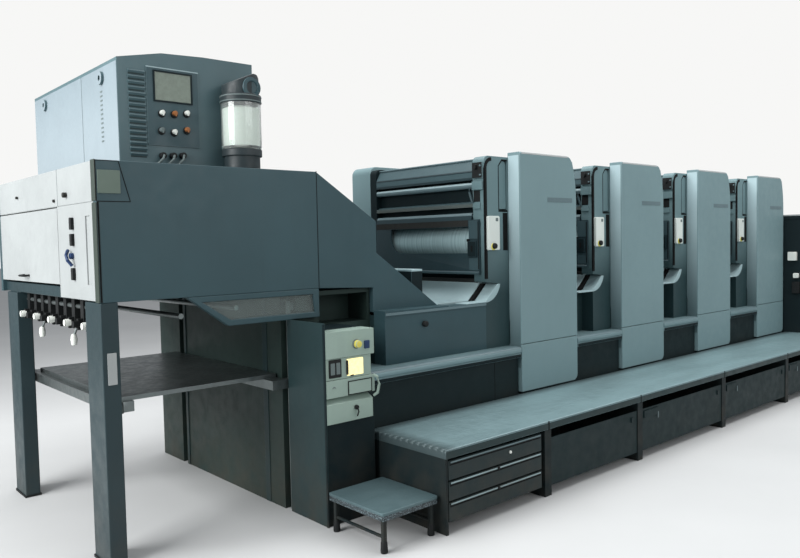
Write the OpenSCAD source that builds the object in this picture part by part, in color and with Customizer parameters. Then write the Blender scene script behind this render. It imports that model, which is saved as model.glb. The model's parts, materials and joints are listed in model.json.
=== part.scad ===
// Sheet-fed offset printing press: a row of printing units with a high-pile
// delivery at the -X end, a feeder at the +X end and an operator gallery along
// the -Y side. Stands on the floor at Z = 0, centred on the origin, millimetres.
// Inside each module X counts from the front edge of the first unit's tower
// and Y from the face of the towers; place() moves that frame to the origin.

/* [Line] */
// Distance from one printing unit to the next
unit_pitch = 1220; // [1200:5:1260]
// Width between the side frames
press_w = 994; // [960:1:1040]
// Thickness of a unit's side frame on the operator side
frame_t = 100; // [80:1:110]
// Thickness of a unit's side frame on the drive side
far_frame_t = 70; // [60:1:90]
// Depth of the gear covers on the drive side
gear_cover_d = 224; // [150:1:240]
// Height of the machine bed
bed_top = 1030; // [1010:1:1036]

/* [Printing unit] */
// Length of a unit's side frames along the machine
unit_l = 795; // [770:5:800]
// How far the side frames stand before the tower
frame_lead = 235; // [225:1:245]
// Height of the side frames
frame_top = 2010; // [2000:1:2030]
// Corner radius of the side frames
frame_r = 40; // [30:5:120]
// Width of a tower cover
tower_w = 627; // [600:1:640]
// Depth of a tower cover
tower_d = 106; // [95:1:125]
// Height of a tower cover
tower_top = 2040; // [2032:1:2060]
// Height of the joint between upper and lower tower cover
tower_split = 756; // [740:1:775]
// Width by which the tower narrows towards its top
tower_flare = 70; // [50:1:85]
// Diameter of the blanket cylinder
cyl_d = 270; // [255:1:275]
// Height of the blanket cylinder's axis
cyl_z = 1450; // [1445:1:1460]
// Lower edge of the swinging guard
guard_bottom = 1235; // [1215:1:1245]
// Height of the guard's hinge rod
guard_hinge_z = 1620; // [1612:1:1630]
// Thickness of the guards
guard_t = 11; // [8:0.5:12]
// Width of the plate with a unit's buttons
box_w = 110; // [95:1:142]
// Height of that plate
box_h = 224; // [200:1:240]

/* [Delivery] */
// Length of the delivery
delivery_l = 1580; // [1560:1:1640]
// Width of the delivery
delivery_w = 1664; // [1640:1:1700]
// Height of the delivery
delivery_top = 1854; // [1840:1:1880]
// Clear height under the delivery's side panel
delivery_clear = 1213; // [1210:1:1230]
// Thickness of the delivery's panels
panel_t = 40; // [30:1:50]
// Free length over the pile
well_l = 1000; // [980:1:1010]
// Width of a delivery leg along the machine
leg_l = 80; // [70:1:90]
// Width of a delivery leg across the machine
leg_w = 200; // [180:1:220]
// Distance from one jogger over the pile to the next
jogger_pitch = 128; // [110:1:160]
// Width over the delivery's legs
leg_span = 1535; // [1500:1:1560]
// Distance from the delivery to the first unit's side frame
link_l = 870; // [850:1:880]
// Height of the pile platform's top when the machine rests
pile_z = 750; // [700:1:780]
// Thickness of the platform's board
pile_t = 22; // [18:1:30]
// Height of the cross bars under the board
bar_h = 50; // [40:1:60]
// Diameter of the platform's guide rods
rod_d = 24; // [20:1:26]

/* [Control console] */
// Width of the console beside the pile
console_w = 325; // [310:1:340]
// How far the console stands out from the delivery's side
console_d = 304; // [290:1:308]
// Height of the console
console_h = 1005; // [995:1:1020]

/* [Powder cabinet] */
// Length of the cabinet on the delivery
cabinet_l = 738; // [700:1:780]
// Width of the cabinet across the machine
cabinet_w = 1310; // [1250:1:1350]
// Height of the cabinet's eave over the delivery
cabinet_h = 520; // [480:1:540]
// Distance from one louvre of the cabinet to the next
louvre_pitch = 26.7; // [22:0.1:32]
// Outer diameter of the powder jar
jar_d = 206; // [160:1:207]

/* [Gallery] */
// Height of the gallery deck
deck_z = 430; // [420:1:434]
// Depth of the gallery deck
deck_d = 592; // [560:1:620]
// Thickness of the deck's rim
deck_t = 45; // [35:1:50]
// Height of the treads between the towers
tread_z = 745; // [730:1:755]
// Thickness of a tread
tread_t = 72; // [60:1:80]
// Length of a drawer
drawer_l = 738; // [700:1:745]
// Height of a drawer
drawer_h = 96; // [90:0.5:98]
// Height of the step stool
stool_h = 200; // [180:1:220]

/* [Feeder] */
// Length of the feeder
feeder_l = 2180; // [2160:10:2300]
// Height of the feeder's side frames
feeder_top = 1610; // [1590:1:1630]
// Distance from the last unit's side frame to the feeder
feed_gap = 100; // [90:1:130]
// Length of the feeder's console
desk_l = 640; // [600:5:700]
// Length of the feeder's pile bay
bay_l = 900; // [860:5:940]

/* [Hidden] */

units = [0:3];
// running clearance round pins and shafts
fit = 0.3;

// planes across the machine
y_frame = tower_d;
y_in = y_frame + frame_t;
y_far = y_in + press_w;
y_far_out = y_far + far_frame_t;
y_gear = y_far_out + gear_cover_d;
y_del_far = y_in + delivery_w;
y_leg_far = y_in + leg_span;
y_console = y_in - console_d;
deck_back = -5;
deck_front = deck_back - deck_d;

// places along the machine
x_del_r = -frame_lead - link_l;
x_del_l = x_del_r - delivery_l;
x_wall = x_del_l + well_l;
x_unit_r = 3 * unit_pitch + unit_l - frame_lead;
x_feed = x_unit_r + feed_gap;
x_end = x_feed + feeder_l;
x_console = x_wall + console_w;
mid_x = (x_del_l + x_end) / 2;
mid_y = (deck_front + y_del_far) / 2;

// delivery outline, seen from the operator side
shoulder_x = x_del_r - 388;
slope_x = x_del_r + 32;
slope_z = delivery_top - 269;
nose_z = slope_z - 187;
foot_x = x_del_r + 524;
foot_z = bed_top + 26;
skirt_z = bed_top + 165;
drum_top = bed_top + 256;

// printing couple
hinge_x = -frame_lead + 13;
hinge_d = 24;
roll_d = 44;
box_z = 1393;
guard_x = -frame_lead - 6 - guard_t;
// ramp that leads from the bed into a notch in the side frame
ramp_z = bed_top + 20;
ramp_r = 150;
ramp_end = -13;
cyl_x = -85;
journal_d = 80;
cyl_gap = 10;
core_x = hinge_x + roll_d / 2 + 10;
core_top = frame_top - 150;
frame_r_x = unit_l - frame_lead;

// end cover on the delivery
band_z = delivery_top - 185;
cover_pivot_x = x_del_l + 8;
cover_pivot_z = band_z - 12;
cover_y0 = y_in + 548;
cover_bottom = delivery_clear + 70;

// powder jar, on the ledge between the side panel and the cabinet
jar_space = 214;
jar_x = x_del_l + 800;
jar_y = y_in + jar_space / 2;
jar_z = delivery_top;
jar_foot = 102;
jar_h = 236;

// control boxes: depth, and their lowest edge
stack_d = 110;
stack_z = 530;

// pile guide rods: behind the legs, and in channels in the wall behind the pile
channel = 60;
rod_x_leg = x_del_l + leg_l + rod_d / 2 + 18;
rod_x_wall = x_wall + channel / 2;
rod_y_near = y_in + panel_t + channel / 2;
rod_y_far = y_leg_far - 206;
rods = [[rod_x_leg, y_in + 124], [rod_x_leg, y_leg_far - 41], [rod_x_wall, rod_y_near],
    [rod_x_wall, rod_y_far]];
ear_d = rod_d + 20;

// gallery bays
deck_l = x_console + 32;
deck_r = x_feed + 700;
drawer_x = deck_l + 20;
drawer_front = 12;
drawer_depth = deck_d - 140;
rail_w = 14;
rail_t = 3;
plinth_y = 30;
post_w = 60;
// left side of each gallery post
bays = [deck_l, drawer_x + drawer_l + 32, for (i = [0:3]) 440 + i * 1190, deck_r - post_w];

module place() translate([-mid_x, -mid_y, 0]) children();

// box between two corners
module block(x0, x1, y0, y1, z0, z1)
    translate([x0, y0, z0]) cube([x1 - x0, y1 - y0, z1 - z0]);

// profile in X-Z carried from y0 to y1
module along_y(y0, y1)
    translate([0, y1, 0]) rotate([90, 0, 0]) linear_extrude(y1 - y0) children();

// profile in Y-Z carried from x0 to x1
module along_x(x0, x1)
    translate([x0, 0, 0]) rotate([90, 0, 90]) linear_extrude(x1 - x0) children();

// round bar along Y
module bar_y(x, z, d, y0, y1)
    translate([x, y1, z]) rotate([90, 0, 0]) cylinder(h = y1 - y0, d = d, $fn = 48);

// points of an arc from angle a0 to a1
function arc(c, r, a0, a1, n = 8) =
    [for (i = [0:n]) c + r * [cos(a0 + (a1 - a0) * i / n), sin(a0 + (a1 - a0) * i / n)]];

// rectangle with one radius per corner, from lower left anticlockwise
function rounded(x0, x1, z0, z1, r) = concat(
    arc([x0 + r[0], z0 + r[0]], r[0], 180, 270),
    arc([x1 - r[1], z0 + r[1]], r[1], 270, 360),
    arc([x1 - r[2], z1 - r[2]], r[2], 0, 90),
    arc([x0 + r[3], z1 - r[3]], r[3], 90, 180));

module machine_base() {
    color("#5c6462") place() {
        along_y(y_in, y_far_out) polygon([[x_del_r, 0], [x_feed, 0], [x_feed, bed_top],
            [x_del_r, bed_top]]);
    }
}

// closed side of the bed between delivery and first unit, with its pale top strip
module link_panels() {
    color("#7b8a80") place() {
        block(x_del_r, -frame_lead, y_frame, y_in, tread_z - tread_t, bed_top + 20);
        along_y(y_frame, y_in) polygon([[x_del_r, bed_top + 20], [foot_x, bed_top + 20],
            [foot_x, foot_z], [x_del_r, bed_top + 30]]);
        // bead along the upper edge
        along_x(x_del_r, -frame_lead) polygon(rounded(y_frame - 5, y_frame, bed_top, bed_top + 18,
            [0.5, 0.5, 0.5, 3]));
    }
}

module unit_frame(y0, y1, z0, bore_from, bore_to) {
    difference() {
        along_y(y0, y1) polygon(rounded(-frame_lead, frame_r_x, z0, frame_top,
            [1, 1, frame_r, frame_r]));
        bar_y(cyl_x, cyl_z, journal_d + 2 * fit, bore_from, bore_to);
    }
}

module near_frames() {
    color("#7b8a80") place() for (i = units) translate([i * unit_pitch, 0, 0]) {
        // plate in the pocket
        along_y(y_frame + 8, y_frame + 51) polygon(rounded(-88, -12, 1665, 1982,
            [3, 3, 25, 30]));
        // end brackets of the bars over the guard
        block(-frame_lead - 10, -frame_lead, y_frame + 32, y_in - 6, guard_hinge_z + 46,
            guard_hinge_z + 86);
        block(-frame_lead - 18, -frame_lead, y_frame + 6, y_in - 6, guard_hinge_z + 170,
            guard_hinge_z + 225);
        block(-frame_lead - 12, -frame_lead, y_frame + 6, y_in - 6, guard_hinge_z + 245,
            frame_top - 40);
        difference() {
            unit_frame(y_frame, y_in, 0, y_in - 60, y_in + 1);
            along_y(y_frame - 1, y_frame + 50) polygon([[-98, 1645], [-5, 1645],
                [-5, 1994], [-62, 1994], [-98, 1950]]);
            block(-55, -5, y_frame - 1, y_frame + 35, 1388, 1640);
            along_y(y_frame - 1, y_in + 1) polygon(concat([[-frame_lead - 1, ramp_z]],
                ramp(ramp_r), [[-frame_lead - 1, ramp_z + 137]]));
        }
    }
}

// points of the ramp's curve, at a distance r from its centre
function ramp(r) = arc([-frame_lead, ramp_z + ramp_r], r, -90, ramp_end, 10);

module far_frames() {
    color("#6f7c74") place() for (i = units) translate([i * unit_pitch, 0, 0])
        unit_frame(y_far, y_far_out, bed_top, y_far - 1, y_far + 50);
}

module gear_covers() {
    color("#c9ccc6") place() {
        for (i = units) translate([i * unit_pitch, 0, 0])
            along_y(y_far_out, y_gear) polygon(rounded(-frame_lead, frame_r_x,
                bed_top + 2, tower_top, [4, 4, 25, 60]));
        along_y(y_far_out, y_gear - 40) polygon(rounded(x_del_r + 2, x_feed, 150, bed_top,
            [30, 30, 4, 4]));
    }
}

// closed body between the side frames, hollowed round the blanket cylinder
module unit_cores() {
    recess = arc([cyl_x, cyl_z], cyl_d / 2 + 15, 125, -100, 20);
    color("#2f3231") place() for (i = units) translate([i * unit_pitch, 0, 0])
        along_y(y_in, y_far) polygon(concat([[core_x, core_top]], [[core_x, cyl_z + 160]],
            recess, [[-60, bed_top + 150], [-60, bed_top], [frame_r_x - 20, bed_top],
            [frame_r_x - 20, core_top]]));
}

module tower_covers() {
    color("#e4e4de") place() for (i = units) translate([i * unit_pitch, 0, 0]) {
        intersection() {
            along_y(0, tower_d) polygon(concat(
                [[0, tower_split + 4], [tower_w, tower_split + 4]],
                arc([tower_w - 900, tower_top - 320], 900, 0, 18, 6),
                [[tower_w - tower_flare, tower_top - 14],
                [tower_w - tower_flare - 24, tower_top], [0, tower_top]]));
            along_x(-1, tower_w + 1) polygon(concat([[0, tower_split]],
                arc([tower_d - 290, tower_split + 192], 290, -41, 0, 8),
                [[tower_d, tower_top], [12, tower_top], [3, tower_top - 4],
                [0, tower_top - 14]]));
        }
        along_y(0, tower_d) polygon(rounded(0, tower_w, deck_z + 8, tower_split,
            [3, 45, 3, 3]));
    }
}

module ink_covers() {
    z0 = core_top;
    color("#b9bfb8") place() for (i = units) translate([i * unit_pitch, 0, 0]) {
        along_y(y_in, y_far) polygon(concat([[-frame_lead + 2, z0],
            [-frame_lead + 2, z0 + 58], [-frame_lead + 42, frame_top - 18]],
            arc([frame_r_x - 70, frame_top - 70], 50, 90, 0, 6), [[frame_r_x - 20, z0]]));
        bar_y(-frame_lead + 20, guard_hinge_z + 202, 38, y_in, y_far);
        bar_y(hinge_x, guard_hinge_z, hinge_d, y_in, y_far);
        along_y(y_in, y_far) polygon([[-frame_lead, guard_hinge_z + 60], [-frame_lead,
            guard_hinge_z + 82], [core_x, guard_hinge_z + 98], [core_x,
            guard_hinge_z + 60]]);
    }
}

module unit_boxes() {
    color("#d9d8c8") place() for (i = units) translate([i * unit_pitch, 0, 0]) {
        along_y(y_frame - 24, y_frame) polygon(rounded(-frame_lead + 13,
            -frame_lead + 13 + box_w, box_z, box_z + box_h, [10, 10, 10, 10]));
    }
}

// sheet that closes the bed before each unit and rises to its cylinders, and the ramp
// beside it in the side frame's notch
module catch_sheets() {
    bend = 60;
    color("#c4c8c4") place() for (i = units) translate([i * unit_pitch, 0, 0]) {
        foot = i == 0 ? foot_x + 2 : -frame_lead - 425;
        along_y(y_in + 32, y_far) polygon(concat([[foot, bed_top], [foot, ramp_z]],
            arc([-frame_lead - 65, ramp_z + bend], bend, -90, -45, 6),
            [[-frame_lead + 83, bed_top + 143], [-60, bed_top + 148], [-60, bed_top]]));
        along_y(y_frame, y_in) polygon(concat([[-420, ramp_z]], ramp(ramp_r),
            [[-frame_lead + 117, ramp_z + 118], [-frame_lead, ramp_z + 8],
            [-420, ramp_z + 6]]));
    }
}

function reversed(list) = [for (i = [len(list) - 1:-1:0]) list[i]];

// guard over the nip: sheet with a window, its upper edge rolled round the hinge rod
module unit_guard(i) {
    y0 = y_frame + 35;
    y1 = y_far - 10;
    top = guard_hinge_z - 24;
    window_y = y0 + 87;
    color("#8f9a94") place() translate([i * unit_pitch, 0, 0]) {
        difference() {
            union() {
                block(guard_x, guard_x + guard_t, y0, y1, guard_bottom, top);
                bar_y(guard_x, guard_bottom + 10, 20, y0, y1);
                along_y(y_in + 6, y1) polygon(concat([[guard_x, top],
                    [guard_x, top - 10], [guard_x + guard_t, top - 20]],
                    arc([hinge_x, guard_hinge_z], roll_d / 2, -60, 180, 16)));
            }
            along_x(guard_x - 30, guard_x + 60) polygon(rounded(window_y, y1 - 168,
                cyl_z - 75, cyl_z + 100, [12, 110, 12, 12]));
            bar_y(hinge_x, guard_hinge_z, hinge_d + 2 * fit, y_in, y_far);
        }
        block(guard_x - 12, guard_x, y0 + 22, y0 + 95, cyl_z - 98, cyl_z + 6);
        block(guard_x - 5, guard_x, y0, y0 + 8, guard_bottom + 20, top - 10);
    }
}
module guard_1() unit_guard(0);
module guard_2() unit_guard(1);
module guard_3() unit_guard(2);
module guard_4() unit_guard(3);

module blanket_cylinder(i) {
    y0 = y_in + cyl_gap;
    y1 = y_far - cyl_gap;
    color("#c8ccd0") place() translate([i * unit_pitch, 0, 0]) {
        difference() {
            bar_y(cyl_x, cyl_z, cyl_d, y0, y1);
            translate([cyl_x, 0, cyl_z]) rotate([0, 35, 0])
                block(-16, 16, y0 + 30, y1 - 30, cyl_d / 2 - 30, cyl_d);
        }
        bar_y(cyl_x, cyl_z, journal_d, y_in - 55, y0);
        bar_y(cyl_x, cyl_z, journal_d, y1, y_far + 45);
    }
}
module blanket_cylinder_1() blanket_cylinder(0);
module blanket_cylinder_2() blanket_cylinder(1);
module blanket_cylinder_3() blanket_cylinder(2);
module blanket_cylinder_4() blanket_cylinder(3);

// tread with a round nose over a lip
tread_section = concat([[y_frame, tread_z - tread_t], [y_frame, tread_z]],
    arc([20, tread_z - 24], 24, 90, 180, 6), [[-4, tread_z - 38], [5, tread_z - 41],
    [5, tread_z - 46], [0, tread_z - 49], [0, tread_z - tread_t]]);

module treads() {
    color("#b8bcbc") place() {
        along_x(x_console, -8) polygon(tread_section);
        block(x_console, x_del_r, y_frame, y_in + panel_t, tread_z - tread_t, tread_z);
        for (i = [0:2]) translate([i * unit_pitch, 0, 0]) {
            along_x(tower_w + 6, unit_pitch - 6) polygon(tread_section);
            block(tower_w + 6, unit_pitch - frame_lead, y_frame, y_in,
                tread_z - tread_t, tread_z);
        }
    }
}

// plinth behind the gallery, raised to carry the treads
module kick_panels() {
    z1 = tread_z - tread_t;
    color("#3a3d3c") place() {
        block(x_console, deck_r, plinth_y, y_frame, 0, deck_z - 4);
        block(x_console, -8, plinth_y, y_frame, deck_z - 4, z1);
        for (i = [0:2]) translate([i * unit_pitch, 0, 0])
            block(tower_w + 6, unit_pitch - 6, plinth_y, y_frame, deck_z - 4, z1);
    }
}

// ribbed plank: grooves run along it from the back to the round front edge
module gallery_deck() {
    pitch = 44;
    count = floor((deck_d - 70) / pitch);
    grooves = [for (k = [1:count]) for (g = [[5, 0], [3, -3], [-3, -3], [-5, 0]])
        [deck_back - k * pitch + g[0], deck_z + g[1]]];
    color("#9aa0a0") place() {
        along_x(deck_l, deck_r) polygon(concat([[deck_back, deck_z - deck_t],
            [deck_back, deck_z]], grooves, arc([deck_front + 12, deck_z - 12], 12, 90, 180,
            4), [[deck_front, deck_z - deck_t]]));
    }
}

module gallery_frame() {
    top = deck_z - deck_t;
    color("#4a4e4d") place() {
        for (x = bays) block(x, x + post_w - (x == deck_l ? 45 : 0), deck_front + 4,
            plinth_y, 0, top);
        for (k = [0:2]) {
            z = drawer_z(k) - fit;
            block(drawer_x - 5, drawer_x + rail_w, deck_front + 40,
                deck_front + drawer_depth, z - rail_t, z);
            block(drawer_x + drawer_l - rail_w, bays[1], deck_front + 40,
                deck_front + drawer_depth, z - rail_t, z);
        }
    }
}

// underside of drawer k, counted from the top
function drawer_z(k) = deck_z - deck_t - 14 - drawer_h - k * (drawer_h + rail_t + 6);

// skirts, each with a hand box at its left and a latch at its right
module skirt_panels() {
    top = deck_z - deck_t;
    y0 = deck_front + 10;
    color("#2f3332") place() for (i = [1:len(bays) - 2]) {
        x0 = bays[i] + post_w;
        x1 = bays[i + 1];
        block(x0, x1, y0, y0 + 6, 55, top - 55);
        if (i > 1) block(x0 + 20, x0 + 200, y0 - 8, y0, top - 115, top - 70);
        block(x1 - 75, x1 - 45, y0 - 8, y0, top - 120, top - 90);
    }
}

// tray with a wider front, whose upper edge is a lip to pull at
module drawer(k) {
    z = drawer_z(k);
    t = 6;
    color("#41474a") place() translate([drawer_x, deck_front + 4, z]) {
        difference() {
            cube([drawer_l, drawer_depth, drawer_h]);
            translate([t, drawer_front, t])
                cube([drawer_l - 2 * t, drawer_depth - drawer_front - t, drawer_h]);
        }
        along_x(10, drawer_l - 10) polygon([[0, drawer_h - 16], [-4, drawer_h - 11],
            [-4, drawer_h - 3], [0, drawer_h - 1]]);
    }
}
module drawer_1() drawer(0);
module drawer_2() drawer(1);
module drawer_3() drawer(2);

module step_stool() {
    x1 = deck_l - 17;
    x0 = x1 - 361;
    y0 = deck_front + 42;
    y1 = y0 + 427;
    color("#8a9090") place() {
        along_x(x0, x1) polygon(rounded(y0, y1, stool_h - 35, stool_h, [4, 4, 8, 8]));
        for (x = [x0 + 17, x1 - 39]) {
            for (y = [y0 + 17, y1 - 39]) {
                block(x, x + 22, y, y + 22, 0, stool_h - 35);
                translate([x + 11, y + 11, 0]) cylinder(h = 55, d = 36, $fn = 24);
            }
            block(x + 3, x + 19, y0 + 39, y1 - 39, 68, 84);
        }
    }
}

function side_outline() = [[x_del_l, delivery_clear], [shoulder_x, delivery_clear],
    [x_del_r, skirt_z], [x_del_r, bed_top + 20], [foot_x, foot_z], [slope_x, nose_z],
    [slope_x, slope_z], [shoulder_x, delivery_top], [x_del_l, delivery_top]];

module delivery_near_panel()
    color("#8a998d") place() along_y(y_in, y_in + panel_t) polygon(side_outline());

module delivery_far_panel()
    color("#8a998d") place() along_y(y_del_far - panel_t, y_del_far)
        polygon(side_outline());

// roof and sloping covers between the side panels
module delivery_hood() {
    t = 30;
    color("#c6cbc6") place() along_y(y_in + panel_t, y_del_far - panel_t)
        polygon([[x_del_l + panel_t, delivery_top - t], [x_del_l + panel_t, delivery_top],
            [shoulder_x, delivery_top], [slope_x, slope_z], [slope_x, nose_z],
            [foot_x, foot_z], [foot_x - 50, foot_z], [slope_x - t, nose_z - t],
            [slope_x - t, slope_z - t], [shoulder_x - 10, delivery_top - t]]);
    // cover of the drum between the delivery and the first unit
    color("#c6cbc6") place() along_y(y_in + panel_t, y_far) polygon(rounded(foot_x - 181,
        foot_x - 91, foot_z, drum_top, [1, 1, 20, 4]));
}

module end_fascia()
    color("#d8dad4") place() block(x_del_l, x_del_l + panel_t, y_in + panel_t,
        y_del_far - panel_t, band_z, delivery_top);

module button_panel()
    color("#8a998d") place() difference() {
        union() {
        block(x_del_l, x_del_l + panel_t, y_in + panel_t, cover_y0 - 6, cover_bottom - 12,
            band_z);
        block(x_del_l, x_del_l + 20, y_in + panel_t, cover_y0 - 6, delivery_clear + 7,
            cover_bottom - 12);
        }
        block(x_del_l - 1, x_del_l + 6, y_in + 90, y_in + 150, delivery_clear + 80,
            band_z - 60);
        bar_y(cover_pivot_x, cover_pivot_z, 8 + 2 * fit, cover_y0 - 30, cover_y0);
    }

// flap at the delivery's end, rolled round its hinge pin at the top
module end_cover() {
    y1 = y_del_far - panel_t - 6;
    color("#e6e7e3") place() {
        block(x_del_l, x_del_l + 12, cover_y0, y1, cover_bottom, cover_pivot_z);
        bar_y(cover_pivot_x, cover_pivot_z, 16, cover_y0, y1);
        bar_y(cover_pivot_x, cover_pivot_z, 8, cover_y0 - 28, cover_y0);
        bar_y(cover_pivot_x, cover_pivot_z, 8, y1, y1 + 6 - fit);
    }
}

// legs, and the beam on them under the delivery's end
module delivery_legs()
    color("#8a998d") place() {
        for (y = [y_in, y_leg_far - leg_w])
            block(x_del_l, x_del_l + leg_l, y, y + leg_w, 0, delivery_clear);
        block(x_del_l + 20, x_del_l + leg_l, y_in + panel_t, y_del_far - panel_t,
            delivery_clear, cover_bottom - 12);
    }

// cross beam with the stops that square the sheets
// jogger under the delivery's end: arm, head and a knob towards the front
module jogger() {
    x1 = x_del_l + leg_l;
    block(x1 - 32, x1, -22, 22, -125, 0);
    block(x1 - 56, x1 - 32, -10, 12, -150, -95);
    translate([x1 - 78, 1, -122]) rotate([0, 90, 0]) cylinder(h = 28, d = 36, $fn = 24);
}

module sheet_stops() {
    y0 = y_in + panel_t;
    y1 = y_del_far - panel_t;
    color("#55595a") place() {
        block(x_del_l + 90, x_del_l + 150, y0, y1, delivery_clear + 30, delivery_clear + 90);
        for (k = [0:5]) translate([0, y0 + 180 + k * 210, 0]) {
            block(x_del_l + 84, x_del_l + 90, 0, 60, delivery_clear - 150,
                delivery_clear + 90);
        }
        for (y = [y_in + leg_w + 60:jogger_pitch:y_leg_far - leg_w - 50])
            translate([0, y, delivery_clear]) jogger();
    }
}

// rails that carry the gripper chains
module chain_rails() {
    z = delivery_clear + 190;
    color("#6a6e70") place() for (y = [y_in + panel_t, y_del_far - panel_t - 25])
        along_y(y, y + 25) polygon(concat(
            arc([x_del_l + 250, z + 95], 115, 90, 270, 12),
            [[shoulder_x + 60, z - 20], [x_del_r + 205, bed_top + 120],
            [x_del_r + 205, bed_top + 160], [shoulder_x + 60, z + 207]]));
}

module gripper_bars() {
    z = delivery_clear + 190;
    color("#8b8f92") place() for (x = [x_del_l + 0.4 * well_l, x_wall - 0.1 * well_l])
        bar_y(x, z + 95, 40, y_in + panel_t + 25, y_del_far - panel_t - 25);
}

// guard below the side panel, round the viewing pane
module side_guard()
    color("#8a998d") place() along_y(y_in, y_in + panel_t) difference() {
        polygon([[x_wall - 585, delivery_clear], [shoulder_x, delivery_clear],
            [shoulder_x, delivery_clear - 158], [x_wall - 365, delivery_clear - 158]]);
        polygon([[x_wall - 505, delivery_clear - 30], [shoulder_x - 40, delivery_clear - 30],
            [shoulder_x - 30, delivery_clear - 128], [x_wall - 355, delivery_clear - 128]]);
    }

module guard_pane()
    color("#dfe6e2") place() along_y(y_in + 10, y_in + 16)
        polygon([[x_wall - 505, delivery_clear - 30], [shoulder_x - 40, delivery_clear - 30],
            [shoulder_x - 30, delivery_clear - 128], [x_wall - 355, delivery_clear - 128]]);

// closed housing between the pile and the first unit, with a channel for each guide rod
// in its wall and a niche over the console
module delivery_housing() {
    y0 = y_in + panel_t;
    color("#5c6462") place() {
        block(x_wall, x_wall + channel, y0 + channel, rod_y_far - channel / 2, 0, skirt_z);
        block(x_wall, x_wall + channel, rod_y_far + channel / 2, y_del_far, 0, skirt_z);
        difference() {
            block(x_wall + channel, x_del_r, y0, y_del_far, 0, skirt_z);
            block(shoulder_x + 20, x_del_r - 20, y0 - 1, y0 + 180, console_h, skirt_z - 25);
        }
    }
}

// side of the console towards the pile
module corner_panel()
    color("#7b8a80") place() block(x_wall, x_wall + 6, y_console, y_in + panel_t, 0,
        delivery_clear - 158);

// four control boxes on the console's front, one over the other
module control_stack() {
    x0 = x_wall + 6;
    y1 = y_console + stack_d;
    color("#b9bfb4") place() {
        block(x0, x_console, y_console, y1, 868, console_h);
        block(x0, x_console - 18, y_console + 8, y1, 755, 868);
        block(x0, x_console, y_console, y1, 665, 755);
        translate([x0 + 199, y_console, 931]) rotate([90, 0, 0]) cylinder(h = 26, d = 40,
            $fn = 32);
        along_x(x0, x_console - 16) polygon([[y_console, stack_z], [y1, stack_z],
            [y1, 665], [y_console + 60, 665], [y_console, 632]]);
    }
}

module control_cabinet()
    color("#3a3d3c") place() {
        block(x_wall + 6, x_console, y_console + 8, y_in + panel_t, 0, stack_z);
        block(x_wall + 6, x_console, y_console + stack_d, y_in + panel_t, stack_z,
            console_h);
    }

// board on two cross bars, whose ears run on the guide rods
module pile_platform() {
    z1 = pile_z - pile_t;
    z0 = z1 - bar_h;
    x1 = x_wall - 12;
    color("#6d7478") place() difference() {
        union() {
            block(rod_x_leg + 15, x1, rods[0][1] + 20, rods[1][1] - 100, z1, pile_z);
            block(rod_x_leg - ear_d / 2, rod_x_leg + 75, rods[0][1], rods[1][1], z0, z1);
            block(x1 - 80, x1, rods[2][1] - ear_d / 2, rods[3][1] + ear_d / 2, z0, z1);
            for (p = rods) translate([p[0], p[1], z0]) cylinder(h = bar_h, d = ear_d,
                $fn = 48);
            for (k = [2, 3]) block(x1 - 1, rod_x_wall, rods[k][1] - ear_d / 2,
                rods[k][1] + ear_d / 2, z0, z1);
        }
        for (p = rods) translate([p[0], p[1], z0 - 1])
            cylinder(h = bar_h + 2, d = rod_d + 2 * fit, $fn = 48);
    }
}

// rods for the platform, held by brackets on the legs and in the wall's channels
module guide_rods()
    color("#9aa0a4") place() for (p = rods) {
        wall = p[0] == rod_x_leg ? x_del_l + leg_l : x_wall + channel;
        translate([p[0], p[1], 0]) cylinder(h = delivery_clear - 63, d = rod_d, $fn = 48);
        for (z = [20, delivery_clear - 113]) block(min(wall, p[0]), max(wall, p[0]),
            p[1] - 9, p[1] + 9, z, z + 40);
    }

// cabinet with an arched roof, louvres, a panel for its controls and lifting eyes
module powder_cabinet() {
    x0 = x_del_l + 198;
    x1 = x0 + cabinet_l;
    y0 = y_in + jar_space;
    z0 = delivery_top;
    z1 = z0 + cabinet_h;
    color("#9aa59c") place() {
        along_y(y0, y0 + cabinet_w) polygon([[x0, z0], [x1, z0], [x1, z1 + 62],
            [x0 + 450, z1 + 60], [x0 + 224, z1 + 48], [x0, z1]]);
        for (z = [z0 + 58:louvre_pitch:z1 - 40]) along_x(x0 + 51, x0 + 135)
            polygon([[y0, z - 4], [y0 - 9, z + 4], [y0 - 9, z + 8], [y0, z + 12]]);
        along_y(y0 - 5, y0) polygon(rounded(x0 + 141, x0 + 417, z0 + 110, z1 - 24,
            [4, 4, 4, 4]));
        for (y = [y0 + 197, y0 + cabinet_w - 211]) translate([x0, y, z1 - 70])
            rotate([0, -90, 0]) difference() {
                cylinder(h = 14, d = 66, $fn = 40);
                translate([0, 0, 4]) cylinder(h = 12, d = 26, $fn = 32);
            }
    }
}

module powder_jar()
    color("#c9d6cf") place() translate([jar_x, jar_y, jar_z + jar_foot])
        cylinder(h = jar_h, d = jar_d, $fn = 64);

// foot under the jar, its rim and its cap, cut off aslant towards the pile
module jar_fittings()
    color("#26292a") place() translate([jar_x, jar_y, jar_z]) {
        z1 = jar_foot + jar_h;
        rotate_extrude($fn = 64) polygon([[0, 0], [92, 0], [92, jar_foot - 36],
            [jar_d / 2, jar_foot - 36], [jar_d / 2, jar_foot], [0, jar_foot]]);
        translate([0, 0, z1]) cylinder(h = 44, d = jar_d + 6, $fn = 64);
        intersection() {
            translate([0, 0, z1 + 44]) cylinder(h = 120, d = 190, $fn = 64);
            along_y(-100, 100) polygon(concat([[-100, z1 + 44], [100, z1 + 44]],
                arc([38, z1 + 92], 57, 0, 120, 10), [[-100, z1 + 90]]));
        }
    }

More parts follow.
